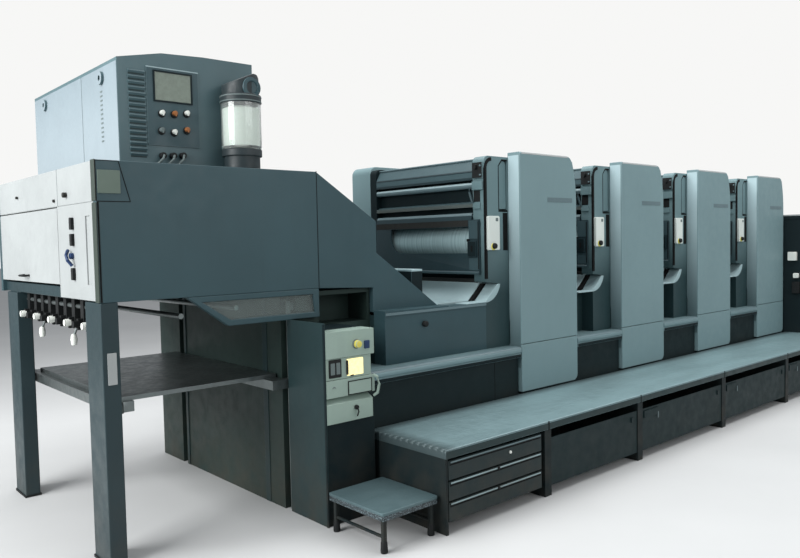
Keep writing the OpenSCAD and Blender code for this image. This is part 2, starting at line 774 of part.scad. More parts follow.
module feeder_frames()
    color("#6f7c74") place() for (y = [y_in, y_far])
        along_y(y, y + far_frame_t) polygon([[x_feed, 0], [x_end, 0],
            [x_end, feeder_top - 110], [x_end - bay_l / 3, feeder_top + 60],
            [x_end - bay_l, feeder_top + 60], [x_feed + desk_l - 140, bed_top + 250],
            [x_feed, bed_top + 100]]);

module feeder_console()
    color("#2d3030") place() {
        block(x_feed, x_feed + desk_l, deck_front + 397, y_in, deck_z, feeder_top);
        block(x_feed - 6, x_feed + desk_l + 6, deck_front + 390, y_in, feeder_top,
            feeder_top + 45);
    }

module feeder_base()
    color("#3a3d3c") place() {
        block(x_feed, x_feed + bay_l, y_in + far_frame_t, y_far, 0, bed_top);
        block(x_feed, x_end, y_frame, y_in, 0, deck_z - 60);
    }

module feed_table()
    color("#b9bfb8") place() along_y(y_in + far_frame_t, y_far) polygon([
        [x_feed, bed_top], [x_feed + bay_l, bed_top], [x_end - bay_l, feeder_top - 220],
        [x_end - bay_l, feeder_top - 180], [x_feed + 60, bed_top + 80],
        [x_feed, bed_top + 80]]);

module suction_head()
    color("#55595a") place() {
        along_y(y_in + far_frame_t, y_far) polygon(rounded(x_end - bay_l + 40, x_end - 420,
            feeder_top - 90, feeder_top + 40, [30, 30, 40, 40]));
    }

module feeder_platform()
    color("#6d7478") place() block(x_end - bay_l, x_end - 40, y_in + far_frame_t, y_far,
        120, 180);

machine_base();
link_panels();
near_frames();
far_frames();
gear_covers();
unit_cores();
tower_covers();
ink_covers();
unit_boxes();
catch_sheets();
guard_1();
guard_2();
guard_3();
guard_4();
blanket_cylinder_1();
blanket_cylinder_2();
blanket_cylinder_3();
blanket_cylinder_4();
treads();
kick_panels();
gallery_deck();
gallery_frame();
skirt_panels();
drawer_1();
drawer_2();
drawer_3();
step_stool();
delivery_near_panel();
delivery_far_panel();
delivery_hood();
end_fascia();
button_panel();
end_cover();
delivery_legs();
sheet_stops();
chain_rails();
gripper_bars();
side_guard();
guard_pane();
delivery_housing();
corner_panel();
control_stack();
control_cabinet();
pile_platform();
guide_rods();
powder_cabinet();
powder_jar();
jar_fittings();
feeder_frames();
feeder_console();
feeder_base();
feed_table();
suction_head();
feeder_platform();
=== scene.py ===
"""Looks for an offset printing press: finishes on the CAD solids, and the fine parts on them.

Places are in the machine's own frame, in metres: X counts from the front edge of the first
printing unit's tower towards the feeder, Y from the face of the towers towards the drive
side, and Z from the floor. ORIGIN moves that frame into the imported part's frame.
"""
import json
import math

import bmesh
import bpy
import numpy as np
from mathutils import Matrix, Vector


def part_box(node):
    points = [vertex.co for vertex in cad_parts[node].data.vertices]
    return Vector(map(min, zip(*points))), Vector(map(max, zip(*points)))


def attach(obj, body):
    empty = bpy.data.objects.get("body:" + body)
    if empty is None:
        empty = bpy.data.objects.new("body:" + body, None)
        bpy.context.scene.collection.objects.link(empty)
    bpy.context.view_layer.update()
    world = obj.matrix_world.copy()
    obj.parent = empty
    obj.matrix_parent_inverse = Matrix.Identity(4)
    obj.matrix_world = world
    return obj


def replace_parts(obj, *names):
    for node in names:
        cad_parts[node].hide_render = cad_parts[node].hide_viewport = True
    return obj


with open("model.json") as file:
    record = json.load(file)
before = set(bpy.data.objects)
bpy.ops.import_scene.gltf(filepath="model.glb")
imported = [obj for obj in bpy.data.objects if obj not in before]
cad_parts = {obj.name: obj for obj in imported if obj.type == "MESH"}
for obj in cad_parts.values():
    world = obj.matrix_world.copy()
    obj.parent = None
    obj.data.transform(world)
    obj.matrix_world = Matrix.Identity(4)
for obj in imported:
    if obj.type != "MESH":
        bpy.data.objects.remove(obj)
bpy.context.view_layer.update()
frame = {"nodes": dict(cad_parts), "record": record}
NODES = frame["nodes"]
BODY_OF = {node: body for body, nodes in frame["record"]["behaviour"]["bodies"].items()
           for node in nodes}

# the towers' lowest corner stands at X = 0, Y = 0 of the machine's frame
tower_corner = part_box("tower_covers")[0]
ORIGIN = np.array([tower_corner.x, tower_corner.y, 0.0])
UNITS, DRAWERS = 4, 3
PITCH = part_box("guard_2")[0].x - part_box("guard_1")[0].x


def node_box(name):
    """A CAD node's lowest and highest corner in the machine's frame."""
    low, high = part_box(name)
    return np.array(low) - ORIGIN, np.array(high) - ORIGIN


# faces of the solids that the fine parts sit on
FRAME_FACE = node_box("near_frames")[0][1]
BOX_FACE = node_box("unit_boxes")[0][1]
UNIT_FRONT, INNER_NEAR, _ = node_box("ink_covers")[0]
INNER_FAR = node_box("ink_covers")[1][1]
DELIVERY_END, DELIVERY_SIDE, _ = node_box("delivery_near_panel")[0]
WALL_FACE = node_box("delivery_housing")[0][0]
DECK_LEFT = node_box("gallery_deck")[0][0]
LEG_SPAN, LEG_WIDTH, LEG_DEPTH = 1.535, 0.2, 0.08
POSTS = 0.44 + 1.19 * np.arange(4)      # the gallery's posts along X


# meshes

CORNER_STEPS = 4       # facets in a plate's round corner
SUNK = 0.002           # how far a plate reaches into the face it sits on
NO_RADIUS = 0.0005     # radius that stands for a point on the axis of a turned part
CAD_SHARP, PIECE_SHARP = 32, 35      # degrees from which an edge stays an edge


def ring_faces(rings, points):
    """Faces over rings of points, numbered ring by ring: face (i, j) joins points (i, j),
    (i, j+1), (i+1, j+1) and (i+1, j), j goes round, and a face closes each end."""
    i, j = np.meshgrid(np.arange(rings - 1), np.arange(points), indexing="ij")
    after = (j + 1) % points
    quads = np.stack([i * points + j, i * points + after, (i + 1) * points + after,
                      (i + 1) * points + j], -1)
    last = (rings - 1) * points
    ends = [list(range(points))[::-1], list(range(last, last + points))]
    return quads.reshape(-1, 4).tolist() + ends


def carried(profile, axis, start, end):
    """Closed prism: the profile's points, in the plane across the axis, at start and end,
    with a face at each end. Across X the profile is (y, z), across Y (x, z), across Z (x, y)."""
    n = len(profile)
    verts = np.zeros((2, n, 3))
    others = [k for k in range(3) if k != axis]
    verts[:, :, others] = profile
    verts[0, :, axis], verts[1, :, axis] = start, end
    return verts.reshape(-1, 3), ring_faces(2, n)


def box_part(low, high):
    """Closed box between two corners, as a prism carried along Z."""
    (x0, y0, z0), (x1, y1, z1) = low, high
    return carried([(x0, y0), (x1, y0), (x1, y1), (x0, y1)], 2, z0, z1)


def arc_points(centre, radius, start, end, steps):
    """Points of a circular arc between two angles in degrees."""
    t = np.radians(np.linspace(start, end, steps))
    return np.stack([centre[0] + radius * np.cos(t), centre[1] + radius * np.sin(t)], 1)


def rounded_rect(a0, a1, b0, b1, radius):
    """Rectangle with round corners: four quarter circles, each centred a radius inside."""
    corners = [(a1 - radius, b0 + radius, -90), (a1 - radius, b1 - radius, 0),
               (a0 + radius, b1 - radius, 90), (a0 + radius, b0 + radius, 180)]
    return np.concatenate([arc_points((a, b), radius, start, start + 90, CORNER_STEPS + 1)
                           for a, b, start in corners])


def turned(profile, centre, axis, steps=32):
    """Surface of revolution: each (radius, height) of the profile goes round the axis
    through centre; its ends are closed by a face of their own."""
    profile = np.array(profile)
    t = np.linspace(0, 2 * math.pi, steps, endpoint=False)
    u, v = [k for k in range(3) if k != axis]
    verts = np.zeros((len(profile), steps, 3))
    verts[..., u] = profile[:, None, 0] * np.cos(t)
    verts[..., v] = profile[:, None, 0] * np.sin(t)
    verts[..., axis] = profile[:, None, 1]
    return verts.reshape(-1, 3) + centre, ring_faces(len(profile), steps)


def tube(path, radius, steps=12):
    """Round tube: a circle carried along the path, square to the path at each point."""
    path = np.asarray(path, float)
    along = np.gradient(path, axis=0)
    along /= np.linalg.norm(along, axis=1)[:, None]
    steep = np.abs(along[:, 2:]) > 0.9
    side = np.cross(along, np.where(steep, [[0.0, 1.0, 0.0]], [[0.0, 0.0, 1.0]]))
    side /= np.linalg.norm(side, axis=1)[:, None]
    top = np.cross(side, along)
    t = np.linspace(0, 2 * math.pi, steps, endpoint=False)
    ring = side[:, None] * np.cos(t)[:, None] + top[:, None] * np.sin(t)[:, None]
    return (path[:, None] + radius * ring).reshape(-1, 3), ring_faces(len(path), steps)


def piece(name, parts, material, body="machine", bevel=0.0):
    """One object from a list of parts in the machine's frame. It rides on its body; its
    edges are rounded by a bevel where one is given."""
    verts, faces, count = [], [], 0
    for part_verts, part_faces in parts:
        verts.append(part_verts)
        faces += [[k + count for k in face] for face in part_faces]
        count += len(part_verts)
    mesh = bpy.data.meshes.new(name)
    mesh.from_pydata((np.concatenate(verts) + ORIGIN).tolist(), [], faces)
    mesh.validate()
    face_outwards(mesh)
    mesh.materials.append(material)
    return placed(mesh, body, bevel, PIECE_SHARP)


def face_outwards(mesh):
    """Turns every face outwards."""
    work = bmesh.new()
    work.from_mesh(mesh)
    bmesh.ops.recalc_face_normals(work, faces=work.faces)
    work.to_mesh(mesh)
    work.free()


def in_scene(name, data):
    """A new object of the data, put in the scene."""
    obj = bpy.data.objects.new(name, data)
    bpy.context.scene.collection.objects.link(obj)
    return obj


def placed(mesh, body, width, angle):
    """Puts a mesh in the scene as an object that rides on a body. Shading is smooth, with
    edges where faces meet at more than the angle, and a bevel of the width on them."""
    obj = in_scene(mesh.name, mesh)
    mesh.shade_smooth()
    mesh.set_sharp_from_angle(angle=math.radians(angle))
    if width:
        rounding = obj.modifiers.new("round", "BEVEL")
        rounding.width, rounding.segments = width, 2
        rounding.limit_method, rounding.angle_limit = "ANGLE", math.radians(angle)
        rounding.harden_normals = True
    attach(obj, body)
    return obj


def softened(name, width):
    """A CAD node's copy with its sharp edges rounded: triangles in one plane are joined to
    flat faces first, then a bevel of the width runs along each edge. It stands for the node."""
    node = NODES[name]
    work = bmesh.new()
    work.from_mesh(node.data)
    bmesh.ops.remove_doubles(work, verts=work.verts, dist=1e-5)
    bmesh.ops.dissolve_limit(work, angle_limit=math.radians(0.6), verts=work.verts,
                             edges=work.edges)
    mesh = bpy.data.meshes.new(name + "_finished")
    work.to_mesh(mesh)
    work.free()
    mesh.materials.append(node.data.materials[0])
    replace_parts(placed(mesh, BODY_OF[name], width, CAD_SHARP), name)


def on_front(x0, x1, z0, z1, y, proud=0.003, radius=0.004):
    """Plate with round corners on a face that looks towards -Y, proud of it."""
    return carried(rounded_rect(x0, x1, z0, z1, radius), 1, y - proud, y + SUNK)


def on_end(y0, y1, z0, z1, x, proud=0.003, radius=0.004, sunk=SUNK):
    """Plate with round corners on a face that looks towards -X, proud of it."""
    return carried(rounded_rect(y0, y1, z0, z1, radius), 0, x - proud, x + sunk)


def framed(a0, a1, b0, b1, width):
    """Four bars round a rectangle, as pairs of corners for a plate function."""
    return [(a0, a1, b1 - width, b1), (a0, a1, b0, b0 + width),
            (a0, a0 + width, b0 + width, b1 - width), (a1 - width, a1, b0 + width, b1 - width)]


def knob(place, axis, radius, depth, steps=24):
    """Round knob on a face that looks along minus the axis: a short cylinder whose rim is
    rounded towards its top."""
    rim = 0.3 * radius
    profile = [(radius, 0.001), (radius, -depth + rim), (radius - 0.3 * rim, -depth + 0.3 * rim),
               (radius - rim, -depth), (NO_RADIUS, -depth)]
    return turned(profile, place, axis, steps)


def at_unit(parts, k):
    """The parts moved from the first printing unit to a later one."""
    return [(verts + (PITCH * k, 0, 0), faces) for verts, faces in parts]


def on_units(name, parts, material, bevel=0.0):
    """One piece that repeats the parts on every printing unit."""
    repeated = [part for k in range(UNITS) for part in at_unit(parts, k)]
    piece(name, repeated, material, bevel=bevel)


def band(centre, inner, outer, start, end, steps):
    """Outline of a curved strip between two radii."""
    return np.concatenate([arc_points(centre, outer, start, end, steps),
                           arc_points(centre, inner, end, start, steps)])


# materials


class Finish:
    """A node material on Object coordinates, built one node at a time."""

    def __init__(self, name):
        self.material = bpy.data.materials.new(name)
        self.material.use_nodes = True
        self.tree = self.material.node_tree
        self.shader = self.tree.nodes["Principled BSDF"]
        self.link = self.tree.links.new
        self.coords = self.node("ShaderNodeTexCoord").outputs["Object"]

    def node(self, kind, links=None, **settings):
        """A node with its settings: properties or, where it has none of the name, inputs."""
        made = self.tree.nodes.new(kind)
        for key, value in settings.items():
            if key in made.bl_rna.properties:
                setattr(made, key, value)
            else:
                made.inputs[key.replace("_", " ")].default_value = value
        for key, source in (links or {}).items():
            self.link(source, made.inputs[key])
        return made

    def feed(self, socket, value):
        """Links a source to a socket, or sets it to a number or a colour."""
        if isinstance(value, bpy.types.NodeSocket):
            self.link(value, socket)
        else:
            socket.default_value = (*value, 1.0) if isinstance(value, tuple) else value

    def set(self, **sockets):
        """Feeds the shader's own inputs."""
        for key, value in sockets.items():
            self.feed(self.shader.inputs[key.replace("_", " ")], value)

    def math(self, operation, first, second):
        """The result of an operation on two values."""
        made = self.node("ShaderNodeMath", operation=operation)
        self.feed(made.inputs[0], first)
        self.feed(made.inputs[1], second)
        return made.outputs[0]

    def along(self, axis):
        """One of the object's coordinates, counted in the machine's frame."""
        split = self.node("ShaderNodeSeparateXYZ", {"Vector": self.coords}).outputs[axis]
        return self.math("SUBTRACT", split, ORIGIN["XYZ".index(axis)])

    def noise(self, scale, detail=4.0, stretch=(1, 1, 1)):
        """Cloudy noise; a higher stretch makes it finer along that axis."""
        mapped = self.node("ShaderNodeMapping", {"Vector": self.coords}, Scale=stretch)
        return self.node("ShaderNodeTexNoise", {"Vector": mapped.outputs["Vector"]},
                         Scale=scale, Detail=detail, Roughness=0.55).outputs["Fac"]

    def ramp(self, source, low, high, dark=0.0, light=1.0):
        """Passes from dark to light where the source goes from low to high."""
        return self.node("ShaderNodeMapRange", {"Value": source}, From_Min=low,
                         From_Max=high, To_Min=dark, To_Max=light).outputs["Result"]

    def mixed(self, factor, first, second):
        """The first colour where the factor is 0, and the second where it is 1."""
        mix = self.node("ShaderNodeMix", data_type="RGBA")
        for k, value in ((0, factor), (6, first), (7, second)):
            self.feed(mix.inputs[k], value)
        return mix.outputs[2]

    def patchy(self, first, second, scale, low, high, share=1.0, detail=4.0, stretch=(1, 1, 1)):
        """The first colour, with up to a share of the second where noise is high."""
        patches = self.ramp(self.noise(scale, detail, stretch), low, high, 0.0, share)
        return self.mixed(patches, first, second)

    def bump(self, scale, strength, distance, stretch=(1, 1, 1)):
        """Fine grain of the surface."""
        height = self.noise(scale, 2.0, stretch)
        self.set(Normal=self.node("ShaderNodeBump", {"Height": height}, Strength=strength,
                                  Distance=distance).outputs["Normal"])

    def rough(self, scale, low, high, detail=4.0):
        """Roughness between low and high in soft patches."""
        self.set(Roughness=self.ramp(self.noise(scale, detail), 0.3, 0.7, low, high))


def linear(*srgb):
    """Display colour 0-255 to scene-linear values."""
    c = np.array(srgb) / 255
    return tuple(np.where(c <= 0.04045, c / 12.92, ((c + 0.055) / 1.055) ** 2.4).tolist())


def scaled(colour, factor, lift=0.0):
    """A scene-linear colour, darker or lighter by a factor and lifted towards grey."""
    return tuple(factor * c + lift for c in colour)


def enamel(name, colour, grime=0.12, gloss=0.38, low_dirt=0.5, speckle=0.4, cloud=0.86,
           painted_shading=None, shine=0.28):
    """Machine enamel: slight orange peel, cloudy shade, oily grime that gathers in
    patches and near the floor, and small chips and spots. Below the given heights it
    passes into another colour, painted light and shade graded with height; its shine is
    the strength of the reflection."""
    f = Finish(name)
    base = linear(*colour)
    paint = f.patchy(scaled(base, cloud), base, 1.7, 0.35, 0.7, detail=5.0)
    # painted light and shade: the paint passes into the given colour below the given heights
    if painted_shading:
        shade, z0, z1 = painted_shading
        paint = f.mixed(f.ramp(f.along("Z"), z1, z0), paint, linear(*shade))
    streaked = f.patchy(paint, scaled(base, 0.42, 0.01), 6.0, 0.52, 0.78, grime, 6.0,
                        (3.0, 3.0, 0.35))
    near_floor = f.ramp(f.along("Z"), 0.55, 0.0, 0.0, low_dirt)
    patch = f.math("MULTIPLY", near_floor, f.ramp(f.noise(9.0, 5.0), 0.3, 0.7))
    final = f.mixed(patch, streaked, scaled(linear(96, 88, 76), 0.5))
    if speckle:
        final = f.patchy(final, scaled(base, 0.35), 95.0, 0.71, 0.77, speckle, 2.0)
    f.set(Base_Color=final, Specular_IOR_Level=shine)
    f.rough(14.0, gloss - 0.07, gloss + 0.12)
    f.bump(420.0, 0.1, 0.002)
    return f.material


def drawn_metal(name, colour):
    """Bare metal with fine drawn lines, a fine grain across Z, and dull patches."""
    f = Finish(name)
    base = linear(*colour)
    f.set(Base_Color=f.patchy(base, scaled(base, 0.45), 5.0, 0.35, 0.75, 0.5, 5.0), Metallic=0.9)
    f.rough(30.0, 0.28, 0.5)
    f.bump(240.0, 0.12, 0.001, (1, 1, 12))
    return f.material


def plastic(name, colour, roughness=0.45, dust=0.35):
    """Moulded plastic or rubber: even colour, fine grain, a little dust."""
    f = Finish(name)
    base = linear(*colour)
    dusty = f.patchy(base, scaled(base, 0.6, 0.05), 11.0, 0.45, 0.8, dust)
    f.set(Base_Color=dusty, Specular_IOR_Level=0.3)
    f.rough(40.0, roughness - 0.05, roughness + 0.1, 3.0)
    f.bump(700.0, 0.08, 0.001)
    return f.material


def clear(name, tint):
    """Clear pane or jar: glass with a faint tint and smears."""
    f = Finish(name)
    smears = f.ramp(f.noise(20.0), 0.4, 0.8, 0.06, 0.18)
    f.set(Base_Color=linear(*tint), Transmission_Weight=0.9, IOR=1.45, Roughness=smears)
    return f.material


def cylinder_finish():
    """Ground cylinder under its blanket: satin grey-green with fine rings round it, a few of
    them darker, and a dusty cloud."""
    f = Finish("blanket cylinder")
    rings = f.patchy(linear(150, 175, 178), linear(176, 200, 202), 60.0, 0.4, 0.62,
                     detail=3.0, stretch=(0.0, 1.0, 0.0))
    dusty = f.patchy(rings, linear(132, 156, 159), 7.0, 0.4, 0.75, 0.3)
    f.set(Base_Color=dusty, Metallic=0.25, Specular_IOR_Level=0.4)
    f.rough(30.0, 0.42, 0.58)
    return f.material


def deck_finish(name, colour, shade_fades=()):
    """Worn sheet of a step: smooth satin metal, lighter where feet rub it. Each fade is painted
    shade: it names an axis, where it starts and ends along it, its share there and how dark
    it gets."""
    f = Finish(name)
    base = linear(*colour)
    worn_and_shaded = f.patchy(base, scaled(base, 1.22), 2.6, 0.35, 0.7, detail=3.0, stretch=(0.5, 1.6, 1.0))
    for axis, start, end, share, depth in shade_fades:
        worn_and_shaded = f.mixed(f.ramp(f.along(axis), start, end, 0.0, share), worn_and_shaded, scaled(base, depth))
    scuffed = f.patchy(worn_and_shaded, scaled(base, 0.5), 38.0, 0.62, 0.78, 0.22, 5.0, (0.6, 2.0, 1.0))
    f.set(Base_Color=scuffed, Metallic=0.35)
    f.rough(22.0, 0.4, 0.52)
    f.bump(320.0, 0.05, 0.0008)
    return f.material


def speckled(name, colour):
    """Punched edge band: dark paint with many small light spots rubbed bright."""
    f = Finish(name)
    spots = f.patchy(linear(*colour), linear(112, 130, 136), 190.0, 0.54, 0.62, detail=2.0)
    f.set(Base_Color=spots)
    f.rough(60.0, 0.35, 0.6, 3.0)
    f.bump(190.0, 0.5, 0.002)
    return f.material


def lit(name, colour, strength, grain=0.85):
    """Small display or lamp that glows a little."""
    f = Finish(name)
    base = linear(*colour)
    cloudy = f.patchy(base, scaled(base, grain), 60.0, 0.35, 0.65, detail=2.0)
    f.set(Base_Color=cloudy, Roughness=0.25, Emission_Color=base, Emission_Strength=strength)
    return f.material


PAINT = {
    "frame_paint": enamel("frame enamel", (53, 77, 83), low_dirt=0.35),
    "tower_paint": enamel("tower enamel", (115, 140, 144), grime=0.05, low_dirt=0.1,
                          speckle=0.0, cloud=0.93),
    "bed_paint": enamel("bed enamel", (37, 55, 57), grime=0.25, shine=0.15),
    "dark_paint": enamel("dark enamel", (20, 33, 36), grime=0.22, gloss=0.5, shine=0.12),
    "cover_paint": enamel("cover enamel", (70, 92, 97), grime=0.15),
    "guard_paint": enamel("guard enamel", (40, 58, 63), grime=0.1),
    "box_paint": enamel("control box enamel", (148, 168, 158), grime=0.15, gloss=0.42),
    "cylinder_steel": cylinder_finish(),
    "tread_plate": deck_finish("tread plate", (110, 134, 138)),
    # painted shade: darker along the back edge under the treads and towards the left end
    "deck_plate": deck_finish("deck plate", (117, 142, 146),
                              (("Y", -0.1, -0.01, 0.9, 0.2),
                               ("X", DECK_LEFT + 1.302, DECK_LEFT + 0.002, 0.45, 0.5),
                               ("X", DECK_LEFT + 0.11, DECK_LEFT + 0.002, 0.9, 0.2))),
    "steel_rod": drawn_metal("drawn steel", (120, 128, 128)),
    "clear_pane": clear("clear pane", (206, 220, 218)),
    "jar_glass": clear("jar glass", (240, 246, 244)),
    "black_plastic": plastic("black plastic", (36, 46, 49)),
}
# painted shade: the near side frames grow darker from 1.5 m down to 1.1 m
FRAME_SHADED_BELOW = enamel("side frame enamel with painted shade", (104, 129, 133), low_dirt=0.0, painted_shading=((40, 60, 63), 1.1, 1.5))
CABINET = enamel("cabinet enamel", (78, 101, 106), grime=0.04, low_dirt=0.0)
PALE = enamel("end cover enamel", (158, 163, 163), grime=0.04, low_dirt=0.1, speckle=0.2)
TRIM = enamel("edge trim enamel", (98, 118, 123), speckle=0.0)
MID = enamel("fitting enamel", (58, 78, 83))
# painted light: a lighter copy of the tower paint for the towers' -X sides, with painted shade
# towards the bottom
LIT_SIDE = enamel("tower side painted light", (176, 199, 204), grime=0.05, speckle=0.0,
              painted_shading=((84, 104, 108), 0.8, 1.8))
# light trim, also used for painted highlights on edges and bars
LIGHT_TRIM_AND_HIGHLIGHT = enamel("light trim and painted highlight enamel", (150, 172, 176), speckle=0.0)
SHEET = enamel("catch sheet enamel", (160, 184, 188), grime=0.1, speckle=0.2)
UNIT_BOX = enamel("unit panel enamel", (214, 222, 217), grime=0.1)
HAMMERED = enamel("hammered panel enamel", (44, 58, 55), grime=0.3, speckle=0.6, shine=0.12)
KICK = enamel("kick panel enamel", (24, 37, 39), grime=0.2, gloss=0.5, shine=0.15)
SKIRT = enamel("skirt enamel", (25, 41, 43), grime=0.2, low_dirt=0.08, gloss=0.5, shine=0.15)
LEG = enamel("leg enamel", (38, 55, 59), low_dirt=0.3)
DRAWER = enamel("drawer enamel", (34, 48, 50), grime=0.25, gloss=0.42, shine=0.15)
BLACK = plastic("black rubber", (12, 16, 17), 0.6, dust=0.05)
SHADE = plastic("shadow gap", (4, 6, 7), 0.9, dust=0.0)
BROWN = plastic("dull brown shade", (34, 35, 33), 0.7, dust=0.1)
GREY = plastic("grey plastic", (96, 108, 108), 0.5)
LEDGE = plastic("dusty ledge", (72, 81, 79), 0.6)
WHITE = plastic("white knob", (214, 218, 212), 0.35)
YELLOW = plastic("yellow knob", (206, 196, 92), 0.4)
BLUE = plastic("blue knob", (24, 50, 88), 0.4)
AMBER = plastic("amber knob", (150, 96, 54), 0.45)
BARE = enamel("bare plate", (98, 114, 104), grime=0.05, low_dirt=0.05, speckle=0.0)
# painted light: a lighter copy of the cabinet paint for its lit left end, lighter still towards the
# bottom
LIT_CABINET_END = enamel("cabinet end enamel, painted light", (124, 138, 145), grime=0.05, low_dirt=0.0,
                     speckle=0.0, painted_shading=((142, 154, 160), 1.95, 2.42))
EDGING = enamel("corner edging enamel", (56, 66, 60), grime=0.1, low_dirt=0.05, speckle=0.0)
POWDER = plastic("spray powder", (236, 240, 234), 0.9, dust=0.1)
SPECKLED = speckled("punched band", (26, 36, 40))
STOOL_TOP = deck_finish("stool plate", (76, 97, 101))
STEEL, DARK, BED = PAINT["steel_rod"], PAINT["dark_paint"], PAINT["bed_paint"]
FRAME, BOX = PAINT["frame_paint"], PAINT["box_paint"]
DISPLAY = lit("olive display", (92, 107, 94), 0.03)
GLOW = lit("lit display", (250, 236, 170), 0.8, 0.6)
SCREEN = lit("dark display", (14, 18, 20), 0.0)

OWN_PAINT = {"end_fascia": PALE, "end_cover": PALE, "button_panel": PALE,
             "catch_sheets": SHEET, "gear_covers": PAINT["tower_paint"],
             "unit_boxes": UNIT_BOX, "delivery_housing": HAMMERED,
             "corner_panel": BED, "near_frames": FRAME_SHADED_BELOW,
             "powder_cabinet": CABINET, "kick_panels": KICK, "sheet_stops": BLACK,
             "far_frames": DARK, "delivery_legs": LEG, "skirt_panels": SKIRT,
             **{f"drawer_{k + 1}": DRAWER for k in range(DRAWERS)}}

# widths of the roundings on the solids' edges
EDGES = {"tower_covers": 0.008, "powder_cabinet": 0.003, "unit_boxes": 0.005,
         "control_stack": 0.006, "near_frames": 0.003, "delivery_near_panel": 0.004,
         "end_fascia": 0.006, "end_cover": 0.004, "button_panel": 0.004,
         "delivery_legs": 0.005, "gallery_frame": 0.003, "link_panels": 0.002,
         "side_guard": 0.004, "pile_platform": 0.003, "feeder_console": 0.01,
         "feeder_frames": 0.006, "gear_covers": 0.01, "corner_panel": 0.002,
         "control_cabinet": 0.004, "kick_panels": 0.003, "catch_sheets": 0.002,
         "treads": 0.004, **{f"guard_{k + 1}": 0.002 for k in range(UNITS)}}


def dress_solids():
    """Every solid's own paint, and rounded copies of those in EDGES."""
    for row in frame["record"]["subparts"]:
        mesh = NODES[row["node"]].data
        mesh.materials.clear()
        mesh.materials.append(OWN_PAINT.get(row["node"], PAINT[row["material_slot"]]))
    for name, width in EDGES.items():
        softened(name, width)


# units' details


def unit_details():
    """What each unit has in front: seals, painted shade in the pocket and the recess below it,
    button, mark, the tower's -X side in painted light, a painted highlight along its top
    edge, its plate, and the catch sheet's gap filled with painted shade, rim and brush."""
    corner, outer, inner, foot = (-0.165, 1.93), 0.0715, 0.048, 1.206
    seal = np.concatenate([[(corner[0] - outer, foot), (corner[0] - inner, foot)],
                           arc_points(corner, inner, 180, 90, 8),
                           arc_points(corner, outer, 90, 180, 8)])
    face = FRAME_FACE
    strip = on_end(face - 0.003, face + 0.006, foot, corner[1], UNIT_FRONT, 0.002, 0.001)
    on_units("frame_seals", [carried(seal, 1, face - 0.003, face + 0.002), strip], SHADE)
    left, right, low, high = -0.0975, -0.0055, 1.6455, 1.9935
    # painted shade: black fill round the pocket's plate and in the recess below it
    recess_shade = [carried([(left, low), (right, low), (right, low + 0.0115),
                       (left + 0.0085, low + 0.0115), (left + 0.0085, high - 0.0455),
                       (left + 0.041, high - 0.01), (right, high - 0.01), (right, high),
                       (left + 0.037, high), (left, high - 0.043)], 1, face + 0.0008,
                      face + 0.006),
              on_front(-0.0545, right, 1.3885, low - 0.006, face + 0.0018, 0.001, 0.002)]
    on_units("pocket_recess_shades", recess_shade, SHADE)
    y = BOX_FACE
    on_units("unit_buttons", [knob((-0.178, y, 1.42), 1, 0.019, 0.022)], BLACK)
    on_units("unit_button_rims", [knob((-0.179, y, 1.416), 1, 0.024, 0.006)], YELLOW)
    on_units("unit_marks", [on_front(-0.154, -0.13, 1.582, 1.604, y, 0.0015)], GREY)
    # painted light on each tower's -X side
    sides = [on_end(0.01, 0.1, 0.6, 2.018, 0.0, 0.0012, 0.002)]
    on_units("tower_side_painted_light", sides, LIT_SIDE)
    # painted highlight: a pale strip along each tower's top edge
    edges = [carried([(0.0005, 2.0262), (-0.0006, 2.0262), (0.0022, 2.0362), (0.011, 2.0408),
                      (0.016, 2.0408), (0.016, 2.0398)], 0, 0.02, 0.53)]
    on_units("tower_top_highlights", edges, PALE)
    on_units("tower_plates", [on_front(0.293, 0.576, 1.712, 1.744, 0.0, 0.0015)], TRIM)
    # painted shade: a black fill in the slot between the catch sheet and the ramp
    slot = [(-0.31, 1.036), (-0.31, 1.052), (-0.268, 1.055), (-0.142, 1.168), (-0.112, 1.166),
            (-0.112, 1.036)]
    on_units("sheet_gap_shades", [carried(slot, 1, 0.2075, 0.2385)], SHADE)
    rim = [box_part((-0.545, 0.2355, 1.044), (-0.262, 0.2425, 1.058)),
           carried([(-0.262, 1.044), (-0.262, 1.058), (-0.252, 1.066), (-0.15, 1.1705),
                    (-0.146, 1.166)], 1, 0.2365, 0.2395)]
    on_units("sheet_rims", rim, LIGHT_TRIM_AND_HIGHLIGHT, bevel=0.001)
    brush = [box_part((-0.15, 0.262, 1.17), (-0.128, 1.188, 1.198))]
    on_units("sheet_brushes", brush, BROWN, bevel=0.002)


